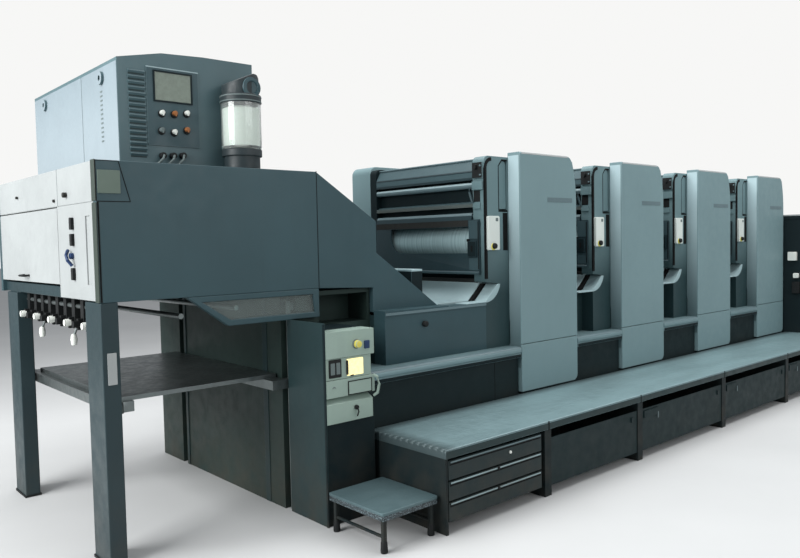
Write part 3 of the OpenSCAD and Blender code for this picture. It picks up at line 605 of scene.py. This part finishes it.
def bars_and_fittings():
    """Bars across each unit over its guard, with a painted highlight along the upper one, the
    dark gap behind them, hooks, hinges and bolts at the end of the cover, and painted shade
    in the recess under the upper bar."""
    y0, y1 = INNER_NEAR + 0.001, INNER_FAR - 0.001
    bar = (-0.215, 1.822)
    sleeve = tube([(bar[0], y0, bar[1]), (bar[0], y1, bar[1])], 0.0198, 20)
    on_units("upper_bars", [sleeve], TRIM)
    # painted highlight: a light band along the top of the upper bar
    upper_highlight = band(bar, 0.0195, 0.0206, 75, 165, 9)
    on_units("upper_bar_highlights", [carried(upper_highlight, 1, y0, y1)], LIGHT_TRIM_AND_HIGHLIGHT)
    ledge = [(-0.2375, 1.679), (-0.2345, 1.704), (-0.19, 1.7115), (-0.19, 1.706)]
    on_units("ledge_strips", [carried(ledge, 1, y0, y1)], LEDGE)
    back = [(-0.186, 1.72), (-0.186, 1.8), (-0.18, 1.8), (-0.18, 1.72)]
    on_units("dark_backs", [carried(back, 1, y0, y1)], BLACK)
    hook = tube([(-0.236, 0.236, 1.806), (-0.247, 0.226, 1.778), (-0.25, 0.212, 1.742),
                 (-0.246, 0.2, 1.706)], 0.008)
    on_units("hooks", [hook], MID)
    # the second plate is painted shade in the recess between the ledge and the upper bar
    dark = [on_end(0.114, 0.199, 1.867, 1.968, -0.247, 0.0012),
            on_end(0.142, 0.1995, 1.712, 1.787, UNIT_FRONT, 0.0012),
            on_end(0.152, 0.178, 1.925, 1.955, -0.247, 0.02, 0.008)]
    on_units("cover_hinges_and_recess_shade", dark, BLACK)
    bolts = [knob((-0.248, 0.126, z), 0, 0.006, 0.008, 12) for z in (1.885, 1.945)]
    on_units("cover_bolts", bolts, TRIM)


def cover_details():
    """Lids over the ink units: a lip along the front edge and folds on the front face."""
    y0, y1 = INNER_NEAR + 0.004, INNER_FAR - 0.004
    lip = tube([(-0.197, y0, 1.9935), (-0.197, y1, 1.9935)], 0.006, 10)
    on_units("cover_lips", [lip], TRIM)
    folds = [[(-0.2345, 1.862), (-0.2345, 1.874), (-0.23, 1.878), (-0.23, 1.858)],
             [(-0.2345, 1.909), (-0.2365, 1.913), (-0.2325, 1.921), (-0.228, 1.917)]]
    on_units("cover_folds", [carried(fold, 1, y0, y1) for fold in folds], PAINT["guard_paint"])


def guard_details():
    """Edges, lock and hinge fittings on each guard, a painted highlight on its roll and a band of
    painted shade under the roll; they swing with it.
    """
    x = node_box("guard_1")[0][0] + 0.012
    roll = band((-0.222, 1.62), 0.0218, 0.0228, 95, 172, 8)
    parts = {
        "edge": (MID, [tube([(x, 0.1412, 1.245), (x, 1.189, 1.245)], 0.0103, 16)]),
        # painted highlight along the top of the hinge roll
        "roll_highlight": (TRIM, [carried(roll, 1, 0.2135, 1.1885)]),
        "groove": (SHADE, [on_end(0.1414, 0.1486, 1.27, 1.582, x - 0.005, 0.0008, 0.001)]),
        # painted shade: a dull brown band under the roll
        "shade": (BROWN, [on_end(0.238, 1.186, 1.553, 1.594, x, 0.0012, 0.002)]),
        "plates": (MID, [on_end(0.152, 0.232, 1.47, 1.59, x, 0.003),
                         on_end(0.152, 0.232, 1.262, 1.344, x, 0.002)]),
        "lock": (DARK, [on_end(0.166, 0.233, 1.355, 1.452, x - 0.012, 0.0012)]),
        "catch": (SHADE, [on_end(0.226, 0.242, 1.452, 1.47, x, 0.0135, 0.003),
                          on_end(0.2365, 0.2385, 1.36, 1.45, x, 0.01, 0.0008),
                          on_end(0.19, 0.204, 1.385, 1.425, x - 0.0132, 0.0016)])}
    for k in range(UNITS):
        for name, (material, group) in parts.items():
            piece(f"guard_{name}_{k + 1}", at_unit(group, k), material, f"guard_{k + 1}",
                  bevel=0.001 if name == "plates" else 0.0)


def far_side_details():
    """Seams and handles on the drive side's gear covers."""
    y = node_box("gear_covers")[1][1]
    lines = [carried(rounded_rect(*seam, 0.002), 1, y - 0.001, y + 0.0008)
             for seam in ((-0.2, 0.52, 1.52, 1.526), (0.155, 0.161, 1.06, 1.52))]
    on_units("drive_side_seams", lines, SHADE)
    handles = [tube([(x, y - 0.001, 1.24), (x, y + 0.028, 1.25), (x, y + 0.028, 1.36),
                     (x, y - 0.001, 1.37)], 0.007) for x in (0.08, 0.2)]
    on_units("drive_side_handles", handles, BLACK)


# delivery details


def delivery_details():
    """Seams, plates, latches, buttons and the frame's corner strips at the delivery."""
    x, y = DELIVERY_END, DELIVERY_SIDE
    seams = [on_front(-1.4945, -1.4905, 1.215, 1.857, y, 0.0009, 0.001),
             on_front(-2.682, -2.674, 1.215, 1.666, y, 0.0008, 0.001)]
    outline = np.array([(-2.684, 1.851), (-2.58, 1.851), (-2.531, 1.669), (-2.684, 1.669)])
    for a, b in zip(outline, np.roll(outline, -1, 0)):
        along = (b - a) / np.linalg.norm(b - a)
        side = np.array([-along[1], along[0]]) * 0.0018
        seams.append(carried([a - side, b - side, b + side, a + side], 1, y - 0.001, y + 0.001))
    piece("side_seams", seams, SHADE)
    piece("bare_corner_plate", [on_front(-2.677, -2.575, 1.705, 1.809, y, 0.004, 0.003)], BARE,
          bevel=0.0015)
    strips = [on_end(y + 0.0005, y + 0.048, z0, z1, x, 0.004, 0.003)
              for z0, z1 in ((1.214, 1.664), (1.672, 1.856))]
    piece("corner_strips", strips, EDGING, bevel=0.002)
    buttons = [on_end(0.511, 0.537, z - 0.029, z + 0.029, x, 0.016, 0.006)
               for z in (1.579, 1.502, 1.339)]
    piece("end_buttons", buttons, BLACK, bevel=0.003)
    grip = tube([(x - 0.012, 0.575, 1.452), (x - 0.03, 0.548, 1.43), (x - 0.03, 0.53, 1.405),
                 (x - 0.012, 0.521, 1.378)], 0.008)
    piece("blue_grip", [grip, knob((x, 0.54, 1.425), 0, 0.015, 0.018)], BLUE)
    latches = [knob((x - 0.004, 0.601, 1.719), 0, 0.013, 0.016),
               knob((x, 0.783, 1.7), 0, 0.008, 0.01),
               knob((x - 0.004, 1.427, 1.752), 0, 0.008, 0.01)]
    piece("fascia_latches", latches, BROWN)
    pull = tube([(x - 0.001, 1.27, 1.318), (x - 0.03, 1.275, 1.316), (x - 0.03, 1.355, 1.316),
                 (x - 0.001, 1.36, 1.318)], 0.006)
    piece("end_cover_pull", [pull], BLACK, body="end_cover")
    piece("fascia_seams", [on_end(0.735, 0.738, 1.672, 1.853, x, 0.0008, 0.001)], GREY)


def pile_mechanism():
    """White knobs and hanging handles on some joggers, the cross rods behind them and the
    dark motors over them."""
    knobs, handles, levers = [], [], []
    joggers, first, pitch = 9, 0.467, 0.128
    grip = [(NO_RADIUS, -0.034), (0.013, -0.03), (0.017, -0.004), (0.012, 0.022),
            (NO_RADIUS, 0.027)]
    for k, y in enumerate(first + pitch * np.arange(joggers)):
        if k % 2 == 0:
            knobs.append(knob((-2.6545, y, 1.091), 0, 0.0188, 0.03))
        if k % 4 == 1:
            levers.append(tube([(-2.64, y + 0.004, 1.076), (-2.652, y + 0.03, 1.074),
                                (-2.664, y + 0.046, 1.034)], 0.006))
            handles.append(turned(grip, (-2.664, y + 0.048, 1.016), 2, 20))
    piece("jogger_knobs", knobs + handles, WHITE)
    piece("jogger_levers", levers, STEEL)
    rods = [tube([(x, 0.25, z), (x, 1.83, z)], radius) for x, z, radius in
            ((-2.621, 1.172, 0.012), (-2.285, 1.12, 0.014), (-1.985, 1.14, 0.014))]
    piece("cross_rods", rods, STEEL)
    boxes = [box_part((-2.6, y, 1.112), (-2.56, y + 0.07, 1.19)) for y in (0.4, 0.66, 0.98, 1.31)]
    piece("jogger_motors", boxes, BLACK, bevel=0.006)


def leg_details():
    """Bare plate on the near leg, and feet."""
    x, y = DELIVERY_END, DELIVERY_SIDE
    piece("leg_plate", [on_front(x + 0.021, x + 0.063, 0.84, 0.985, y, 0.003, 0.003)], PALE,
          bevel=0.001)
    margin = 0.005
    feet = [carried(rounded_rect(x - margin, x + LEG_DEPTH + margin, leg - margin,
                                 leg + LEG_WIDTH + margin, 0.004), 2, 0.0, 0.012)
            for leg in (y, y + LEG_SPAN - LEG_WIDTH)]
    piece("leg_feet", feet, BLACK)


def wall_details():
    """Strips on the wall behind the pile, and painted shade at the backs of its channels."""
    height, channel = 1.19, 0.06
    strips = [on_end(y0, y1, 0.0, height, WALL_FACE, proud, 0.003, 0.01)
              for y0, y1, proud in ((1.462, 1.488, 0.006), (0.452, 0.5, 0.004))]
    piece("wall_strips", strips, BED, bevel=0.002)
    # painted shade at the back of each channel
    backs = [on_end(y, y + 0.086, 0.0, height, WALL_FACE + channel, 0.002, 0.001)
             for y in (0.362, 1.492)]
    piece("channel_shades", backs, SHADE)


# powder cabinet


def powder_cabinet_details():
    """Louvres' painted shadows and painted highlights on their lips, the panel with a painted
    highlight along its top edge, its display and knobs, cable sockets, and the end's panels
    and eye rings in painted light, painted shade in the eyes' holes, slots and seam."""
    x, y = node_box("powder_cabinet")[0][:2] + (0.014, 0.009)       # its sunk faces
    louvres = 1.912 + 0.0267 * np.arange(16)
    # painted shadow under each louvre
    piece("louvre_shadows", [on_front(-2.434, -2.354, z - 0.012, z - 0.0045, y, 0.0008, 0.001)
                           for z in louvres], BED)
    # painted highlight on each louvre's lip
    lips = [on_front(-2.435, -2.353, z + 0.0045, z + 0.0075, y - 0.009, 0.0007, 0.001)
            for z in louvres]
    piece("louvre_lip_highlights", lips, TRIM)
    face = y - 0.005
    piece("control_panel", [on_front(-2.342, -2.074, 1.968, 2.344, face, 0.0012)], FRAME)
    # painted highlight along the recessed panel's top edge
    piece("panel_top_highlight", [on_front(-2.346, -2.07, 2.3445, 2.35, face, 0.002, 0.002)], LIGHT_TRIM_AND_HIGHLIGHT)
    piece("display_frame", [on_front(*bar, face, 0.006, 0.002)
                            for bar in framed(-2.312, -2.106, 2.18, 2.334, 0.008)], DARK)
    piece("display", [on_front(-2.304, -2.114, 2.188, 2.326, face, 0.003, 0.002)], DISPLAY)
    knobs = [(-2.276, 2.126, WHITE), (-2.21, 2.128, AMBER), (-2.144, 2.136, WHITE),
             (-2.28, 2.04, GREY), (-2.214, 2.036, WHITE), (-2.146, 2.052, AMBER)]
    for n, (kx, kz, material) in enumerate(knobs):
        cap = knob((kx, face - 0.01, kz), 1, 0.0115, 0.02)
        bar = on_front(kx - 0.003, kx + 0.003, kz - 0.017, kz + 0.01, face - 0.03, 0.004, 0.002)
        piece(f"panel_knob_{n + 1}", [cap, bar], material)
    piece("panel_knob_bases", [knob((kx + 0.003, face, kz - 0.004), 1, 0.019, 0.01)
                               for kx, kz, _ in knobs], BLACK)
    sockets = ((-2.276, 1.914), (-2.222, 1.916), (-2.17, 1.92))
    piece("cable_sockets", [knob((kx, y, kz), 1, 0.016, 0.028) for kx, kz in sockets], BLACK)
    stubs = [tube([(kx, y - 0.026, kz), (kx - 0.01, y - 0.042, 1.898),
                   (kx - 0.03, y - 0.038, 1.876), (kx - 0.045, y - 0.02, 1.86)], 0.006)
             for kx, kz in sockets]
    piece("socket_stubs", stubs, GREY)
    eyes, eye_z, seam_y = (0.617, 1.519), 2.304, 0.9065
    # painted shade inside each lifting eye's hole
    piece("lifting_eye_hole_shades", [knob((x - 0.003, eye, eye_z), 0, 0.0126, 0.002)
                                for eye in eyes], SHADE)
    # painted light on the cabinet's left end panels and on the eye rings
    piece("cabinet_end_lit_panels", [on_end(y0, y1, 1.86, 2.357, x, 0.0016) for y0, y1 in
                                 ((y + 0.004, seam_y - 0.0035), (seam_y + 0.0035, 1.724))],
          LIT_CABINET_END)
    rings = [band((eye, eye_z), 0.0135, 0.0325, 0, 360, 29) for eye in eyes]
    piece("lifting_eye_rings", [carried(ring, 0, x - 0.015, x - 0.0136) for ring in rings],
          LIT_CABINET_END)
    piece("side_slots", [on_end(0.612, 0.642, z, z + 0.009, x, 0.0026, 0.003)
                         for z in np.linspace(1.99, 2.235, 12)], GREY)
    seam = on_end(seam_y - 0.0015, seam_y + 0.0015, 1.87, 2.36, x, 0.0008, 0.001)
    piece("side_seam_line", [seam], GREY)
    piece("cabinet_foot_strip", [on_front(-2.484, -1.75, 1.855, 1.862, y, 0.004, 0.002)], DARK)


def powder_jar():
    """Clear jar: a thin turned wall with a floor, powder inside, rim with ribs, and a hose
    cap with a round front."""
    low, high = node_box("powder_jar")
    cx, cy = (low[0] + high[0]) / 2, (low[1] + high[1]) / 2
    r, z0, z1 = (high[0] - low[0]) / 2 - 0.0005, low[2], high[2]
    wall = turned([(NO_RADIUS, z0 + 0.001), (r - 0.012, z0 + 0.001), (r - 0.003, z0 + 0.004),
                   (r, z0 + 0.014), (r, z1), (r - 0.004, z1), (r - 0.004, z0 + 0.016),
                   (r - 0.014, z0 + 0.007), (NO_RADIUS, z0 + 0.007)], (cx, cy, 0), 2, 64)
    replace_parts(piece("jar_wall", [wall], PAINT["jar_glass"]), "powder_jar")
    fill = turned([(NO_RADIUS, z0 + 0.009), (r - 0.016, z0 + 0.009), (r - 0.006, z0 + 0.018),
                   (r - 0.006, z1 - 0.028), (r - 0.03, z1 - 0.016), (NO_RADIUS, z1 - 0.012)],
                  (cx, cy, 0), 2, 48)
    piece("jar_powder", [fill], POWDER)
    softened("jar_fittings", 0.005)
    ribs = [turned([(r + 0.002, z1 + h), (r + 0.0055, z1 + h + 0.003),
                    (r + 0.0055, z1 + h + 0.006), (r + 0.002, z1 + h + 0.009)],
                   (cx, cy, 0), 2, 48) for h in (0.004, 0.03)]
    piece("jar_rim_ribs", ribs, GREY)
    mouth = turned([(0.045, 0.0), (0.052, -0.004), (0.05, -0.01), (0.034, -0.012),
                    (0.03, -0.004), (NO_RADIUS, -0.004)], (cx + 0.012, cy - 0.09, z1 + 0.075),
                   1, 32)
    piece("cap_mouth", [mouth], FRAME)


# the console


def console_details():
    """Knob, switches, displays, drawer flap with its handle and the key on the boxes."""
    y = node_box("control_stack")[0][1] + 0.026
    piece("lamp_knob", [knob((-1.48, y, 0.931), 1, 0.0206, 0.0275)], YELLOW)
    piece("lamp_knob_collar", [knob((-1.48, y, 0.931), 1, 0.026, 0.008)], GREY)
    piece("blue_switch", [on_front(-1.428, -1.395, 0.9, 0.942, y, 0.008, 0.003)], BLUE, bevel=0.002)
    yb = y + 0.008
    piece("counter_frame", [on_front(-1.656, -1.578, 0.768, 0.862, yb, 0.006, 0.004)], BLACK,
          bevel=0.002)
    piece("counter_digits", [on_front(-1.648, -1.622, 0.785, 0.845, yb, 0.008, 0.002),
                             on_front(-1.612, -1.588, 0.785, 0.845, yb, 0.008, 0.002)], GREY)
    piece("lit_display", [on_front(-1.54, -1.434, 0.768, 0.856, yb, 0.006, 0.004)], GLOW,
          bevel=0.002)
    piece("display_bars", [on_front(-1.544, -1.534, 0.775, 0.85, yb, 0.0068, 0.002),
                           on_front(-1.52, -1.5, 0.764, 0.772, yb, 0.0068, 0.002)], BROWN)
    piece("flap", [on_front(-1.537, -1.386, 0.67, 0.737, y, 0.003, 0.003)], BOX, bevel=0.002)
    piece("flap_seams", [on_front(*bar, y, 0.0042, 0.001)
                         for bar in framed(-1.541, -1.382, 0.667, 0.741, 0.004)], SHADE)
    pull = tube([(-1.366, y + 0.004, 0.752), (-1.352, y - 0.012, 0.742),
                 (-1.346, y - 0.02, 0.7), (-1.352, y - 0.012, 0.655),
                 (-1.366, y + 0.004, 0.64)], 0.008)
    piece("curved_handle", [pull], BOX)
    tag = tube([(-1.491, y - 0.014, 0.598), (-1.488, y - 0.018, 0.575),
                (-1.494, y - 0.014, 0.552)], 0.004)
    piece("key_lock", [knob((-1.491, y, 0.598), 1, 0.012, 0.014), tag], BLACK)
    joints = [on_front(-1.679, -1.362, z - 0.002, z + 0.002, y + 0.008, 0.0005, 0.001)
              for z in (0.868, 0.755)]
    piece("box_joints", joints, SHADE)
    piece("box_arc_mark", [tube([(-1.64, y - 0.001, 0.716), (-1.632, y - 0.001, 0.722),
                                 (-1.622, y - 0.001, 0.718)], 0.0025)], GREY)
    fitting = [box_part((-1.56, y + 0.02, 0.495), (-1.5, y + 0.1, 0.532)),
               box_part((-1.45, y + 0.03, 0.505), (-1.4, y + 0.1, 0.53))]
    piece("under_box_fittings", fitting, BOX, bevel=0.003)
    x, y, _ = node_box("corner_panel")[0]
    piece("console_edge", [on_end(y, y + 0.014, 0.0, 1.05, x, 0.002, 0.002)], DARK)


# the gallery


def deck_sheet():
    """Ribbed sheet over the gallery: flat ribs a pitch apart, rib = 0.8 - 0.8 cos(2 pi y /
    pitch) cut to 0..1, and a rounded front edge, carried along X. At the left end the
    grooves are deep, fade by exp(-x / 0.02), and the sheet drops by bend - sqrt(bend^2 -
    (bend - x)^2)."""
    (x0, y0, z0), (x1, y1, z1) = node_box("gallery_deck")
    pitch, bend = 0.044, 0.012
    y = np.arange(y1, y0 + bend, -pitch / 10)
    rib = np.clip(0.8 - 0.8 * np.cos(2 * math.pi * (y1 - y) / pitch), 0, 1)
    front = arc_points((y0 + bend, z1 - bend), bend, 90, 180, 6)
    steps = np.array([0.0, 0.002, 0.005, 0.009, 0.014, 0.02, 0.03, 0.05, 0.09])
    xs = np.concatenate([x0 + steps, [x1 - 0.004, x1]])
    inside = np.maximum(bend - (xs - x0), 0)
    drop = bend - np.sqrt(bend ** 2 - inside ** 2)
    groove = 0.0002 + 0.0055 * np.exp(-(xs - x0) / 0.02)
    top = z1 - drop[:, None] - groove[:, None] * (1 - rib)[None]
    rings = []
    for k, x in enumerate(xs):
        up = np.stack([np.full(len(y), x), y, top[k]], 1)
        lip = np.stack([np.full(len(front), x), front[:, 0], front[:, 1] - drop[k]], 1)
        under = np.array([[x, y0, z0], [x, y1, z0]])
        rings.append(np.concatenate([up, lip, under]))
    part = np.concatenate(rings), ring_faces(len(rings), len(rings[0]))
    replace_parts(piece("deck_sheet", [part], PAINT["deck_plate"]), "gallery_deck")
    edge = [tube([(x0 + 0.01, y0 + 0.002, z1 - 0.004), (x1 - 0.01, y0 + 0.002, z1 - 0.004)],
                 0.0028, 8)]
    piece("deck_edge_strip", edge, TRIM)
    face = on_front(x0 + 0.003, x1 - 0.003, z0 + 0.001, z1 - 0.01, y0, 0.0008, 0.001)
    piece("deck_front_face", [face], BED)
    joints = [on_front(x + 0.03, x + 0.038, z0 - 0.004, z1 + 0.001, y0, 0.0018, 0.001)
              for x in (x0 + 0.79, *POSTS)]
    piece("deck_joints", joints, SHADE)


def gallery_details():
    """Painted highlights along the drawers' top edges, painted shadow lines under them, locks on
    the drawers, ends of the skirts' hand boxes.
    """
    for k in range(DRAWERS):
        body = f"drawer_{k + 1}"
        (x0, y, _), (x1, _, z) = node_box(body)
        # painted highlight along each drawer's top edge, and a painted shadow line under its lip
        lip = on_front(x0 + 0.012, x1 - 0.012, z - 0.0105, z - 0.0035, y, 0.0009, 0.001)
        piece(f"drawer_highlight_{k + 1}", [lip], TRIM if k == 0 else LIGHT_TRIM_AND_HIGHLIGHT, body)
        line = on_front(x0 + 0.008, x1 - 0.008, z - 0.024, z - 0.017, y + 0.004, 0.0008, 0.001)
        piece(f"drawer_shadow_line_{k + 1}", [line], SHADE, body)
        middle = (x0 + x1) / 2
        place = (middle + 0.1, y + 0.004, z - 0.048) if k == 0 else (middle, y, z - 0.007)
        piece(f"drawer_lock_{k + 1}", [knob(place, 1, 0.008, 0.008)],
              WHITE if k == 0 else BLACK, body)
    y = node_box("skirt_panels")[0][1]
    piece("hand_box_ends", [on_front(x + 0.25, x + 0.2595, 0.244, 0.287, y, 0.001)
                            for x in POSTS[:3]], TRIM)


def stool():
    """Step: slab with a punched band round it on four thin square legs with rubber feet and
    a pair of low stretchers."""
    (x0, y0, _), (x1, y1, z1) = node_box("step_stool")
    slab = carried(rounded_rect(x0, x1, y0, y1, 0.012), 2, z1 - 0.016, z1)
    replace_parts(piece("stool_top", [slab], STOOL_TOP, bevel=0.004), "step_stool")
    edge = carried(rounded_rect(x0 + 0.001, x1 - 0.001, y0 + 0.001, y1 - 0.001, 0.01), 2,
                   z1 - 0.04, z1 - 0.015)
    piece("stool_band", [edge], SPECKLED, bevel=0.002)
    legs, feet, inset, half = [], [], 0.028, 0.011
    for x in (x0 + inset, x1 - inset):
        for y in (y0 + inset, y1 - inset):
            legs.append(carried(rounded_rect(x - half, x + half, y - half, y + half, 0.004),
                                2, 0.02, z1 - 0.038))
            feet.append(turned([(NO_RADIUS, 0.0), (0.017, 0.0), (0.018, 0.012),
                                (0.016, 0.05), (0.013, 0.058), (NO_RADIUS, 0.058)],
                               (x, y, 0.0), 2, 16))
    piece("stool_legs", legs, DARK, bevel=0.001)
    piece("stool_feet", feet, BLACK)
    rails = [tube([(x, y0 + inset, 0.075), (x, y1 - inset, 0.075)], 0.008)
             for x in (x0 + inset, x1 - inset)]
    piece("stool_stretchers", rails, DARK)


# bed, treads and link panel


def bed_details():
    """Light bead and knob on the link panel, a seam in the kick panel, painted highlights on the
    tread noses.
    """
    y = node_box("link_panels")[0][1]
    piece("link_bead", [on_front(-1.104, -0.237, 1.033, 1.0475, y, 0.0008, 0.003)], TRIM)
    piece("link_knob", [knob((-0.795, 0.106, 0.962), 1, 0.018, 0.026)], BLACK)
    y = node_box("kick_panels")[0][1]
    piece("kick_seams", [on_front(-0.246, -0.242, 0.43, 0.672, y, 0.0008, 0.001)], SHADE)
    bottom, top = (corner[2] for corner in node_box("treads"))
    spans = [(-1.352, -0.012)] + [(0.637 + PITCH * k, PITCH * (k + 1) - 0.01)
                                  for k in range(UNITS - 1)]
    # painted highlight on the rounded top of each tread's nose
    nose = band((0.02, top - 0.024), 0.022, 0.0248, 88, 150, 6)
    piece("tread_nose_highlights", [carried(nose, 0, x0, x1) for x0, x1 in spans], TRIM)
    lips = [on_front(x0, x1, bottom + 0.002, bottom + 0.022, 0.0, 0.0012, 0.002)
            for x0, x1 in spans]
    piece("tread_lips", lips, DARK)


def drum_cover_details():
    """Painted shade on the end and side, and a painted highlight along the top edge, of the cover
    over the delivery's first drum.
    """
    z0, z1 = 1.058, 1.273
    # painted shade on the cover's end and side, and a painted highlight on its top
    piece("drum_cover_end_shade", [on_front(-0.761, -0.673, z0, z1, 0.246, 0.001, 0.002)], DARK)
    piece("drum_cover_side_shade", [on_end(0.25, 1.05, z0, z1, -0.762, 0.001, 0.002)], DARK)
    piece("drum_cover_top_highlight", [box_part((-0.7635, 0.2445, 1.274), (-0.6715, 1.05, 1.2872))],
          SHEET, bevel=0.002)


def feeder_details():
    """Light top on the feeder's console, its small devices and its dark display."""
    (x0, y, _), (x1, y1, z1) = node_box("feeder_console")
    top = [carried(rounded_rect(x0 - 0.002, x1 + 0.002, y - 0.002, y1, 0.02), 2, z1 - 0.012,
                   z1 + 0.003)]
    piece("console_top", top, PALE, bevel=0.003)
    x = x0 + 0.006
    devices = [on_end(y + 0.08, y + 0.16, 1.18, 1.27, x, 0.05, 0.01),
               on_end(y + 0.06, y + 0.11, 1.0, 1.05, x, 0.04, 0.01)]
    piece("console_devices", devices, WHITE, bevel=0.006)
    piece("console_dark_device", [on_end(y + 0.05, y + 0.12, 0.84, 0.96, x, 0.04, 0.008)],
          BLACK, bevel=0.004)
    piece("console_screen", [on_front(x + 0.12, x + 0.42, 1.3, 1.5, y + 0.006, 0.004, 0.006)],
          SCREEN)


# where the photograph was taken from, in the machine's frame
EYE = np.array([-3.8795, -3.162, 1.4625])
HEADING, TILT, ROLL = math.radians(41.5517), math.radians(-2.8879), math.radians(-1.182)
FOCAL_PX, PHOTO_W = 743.97, 800


def make_camera():
    """Camera looking along the heading, from +Y towards +X, with its slight tilt and roll."""
    data = bpy.data.cameras.new("photo_camera")
    data.sensor_width = 36.0
    data.lens = 36.0 * FOCAL_PX / PHOTO_W
    data.clip_end = 60.0
    camera = in_scene("photo_camera", data)
    forward = Vector((math.sin(HEADING) * math.cos(TILT),
                      math.cos(HEADING) * math.cos(TILT), math.sin(TILT)))
    level = Vector((math.cos(HEADING), -math.sin(HEADING), 0.0))
    upright = level.cross(forward)
    right = level * math.cos(ROLL) + upright * math.sin(ROLL)
    up = upright * math.cos(ROLL) - level * math.sin(ROLL)
    turn = Matrix((right, up, -forward)).transposed()
    camera.matrix_world = Matrix.Translation(Vector(EYE + ORIGIN)) @ turn.to_4x4()
    bpy.context.scene.camera = camera


def make_floor():
    """Plain pale floor."""
    half = 60.0
    mesh = bpy.data.meshes.new("floor")
    mesh.from_pydata([(-half, -half, 0), (half, -half, 0), (half, half, 0), (-half, half, 0)],
                     [], [(0, 1, 2, 3)])
    floor = in_scene("floor", mesh)
    pale = Finish("floor")
    cloudy = pale.patchy((0.5, 0.51, 0.51), (0.55, 0.56, 0.56), 0.6, 0.3, 0.7)
    pale.set(Base_Color=cloudy, Roughness=0.6)
    mesh.materials.append(pale.material)


def make_world():
    """A soft, cool light from all round; the camera, also through glass, sees a pale wall."""
    world = bpy.data.worlds.new("studio")
    bpy.context.scene.world = world
    world.use_nodes = True
    tree = world.node_tree
    ambient = tree.nodes["Background"]
    seen = tree.nodes.new("ShaderNodeBackground")
    for light, colour, strength in ((ambient, (0.93, 0.96, 1.0, 1.0), 0.42),
                                    (seen, (0.93, 0.93, 0.92, 1.0), 1.0)):
        light.inputs["Color"].default_value = colour
        light.inputs["Strength"].default_value = strength
    path = tree.nodes.new("ShaderNodeLightPath")
    either = tree.nodes.new("ShaderNodeMath")
    either.operation = "MAXIMUM"
    choose = tree.nodes.new("ShaderNodeMixShader")
    for source, target in ((path.outputs["Is Camera Ray"], either.inputs[0]),
                           (path.outputs["Is Transmission Ray"], either.inputs[1]),
                           (either.outputs[0], choose.inputs[0]),
                           (ambient.outputs[0], choose.inputs[1]),
                           (seen.outputs[0], choose.inputs[2]),
                           (choose.outputs[0], tree.nodes["World Output"].inputs["Surface"])):
        tree.links.new(source, target)


def make_lamps():
    """Three large soft lamps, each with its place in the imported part's frame, its size,
    power in watts and target."""
    lamps = (("overhead", (-0.5, -0.3, 5.5), (10.0, 5.0), 520.0, (-0.2, 0.3, 0.0)),
             ("left", (-9.0, 0.3, 3.4), (5.0, 3.5), 610.0, (-1.0, 0.6, 1.3)),
             ("front", (-1.0, -8.0, 3.6), (7.0, 3.0), 170.0, (0.5, 0.0, 1.0)))
    for name, place, (wide, high), power, target in lamps:
        data = bpy.data.lights.new(name, "AREA")
        data.shape, data.size, data.size_y, data.energy = "RECTANGLE", wide, high, power
        lamp = in_scene(name, data)
        lamp.location = place
        lamp.rotation_mode = "QUATERNION"
        aim = Vector(target) - Vector(place)
        lamp.rotation_quaternion = aim.to_track_quat("-Z", "Y")


for build in (dress_solids, unit_details, bars_and_fittings, cover_details, guard_details,
              far_side_details, delivery_details, pile_mechanism, leg_details, wall_details,
              powder_cabinet_details, powder_jar, console_details, deck_sheet,
              gallery_details, stool, bed_details, drum_cover_details, feeder_details,
              make_camera, make_floor, make_world, make_lamps):
    build()
bpy.context.scene.view_settings.view_transform = "Standard"
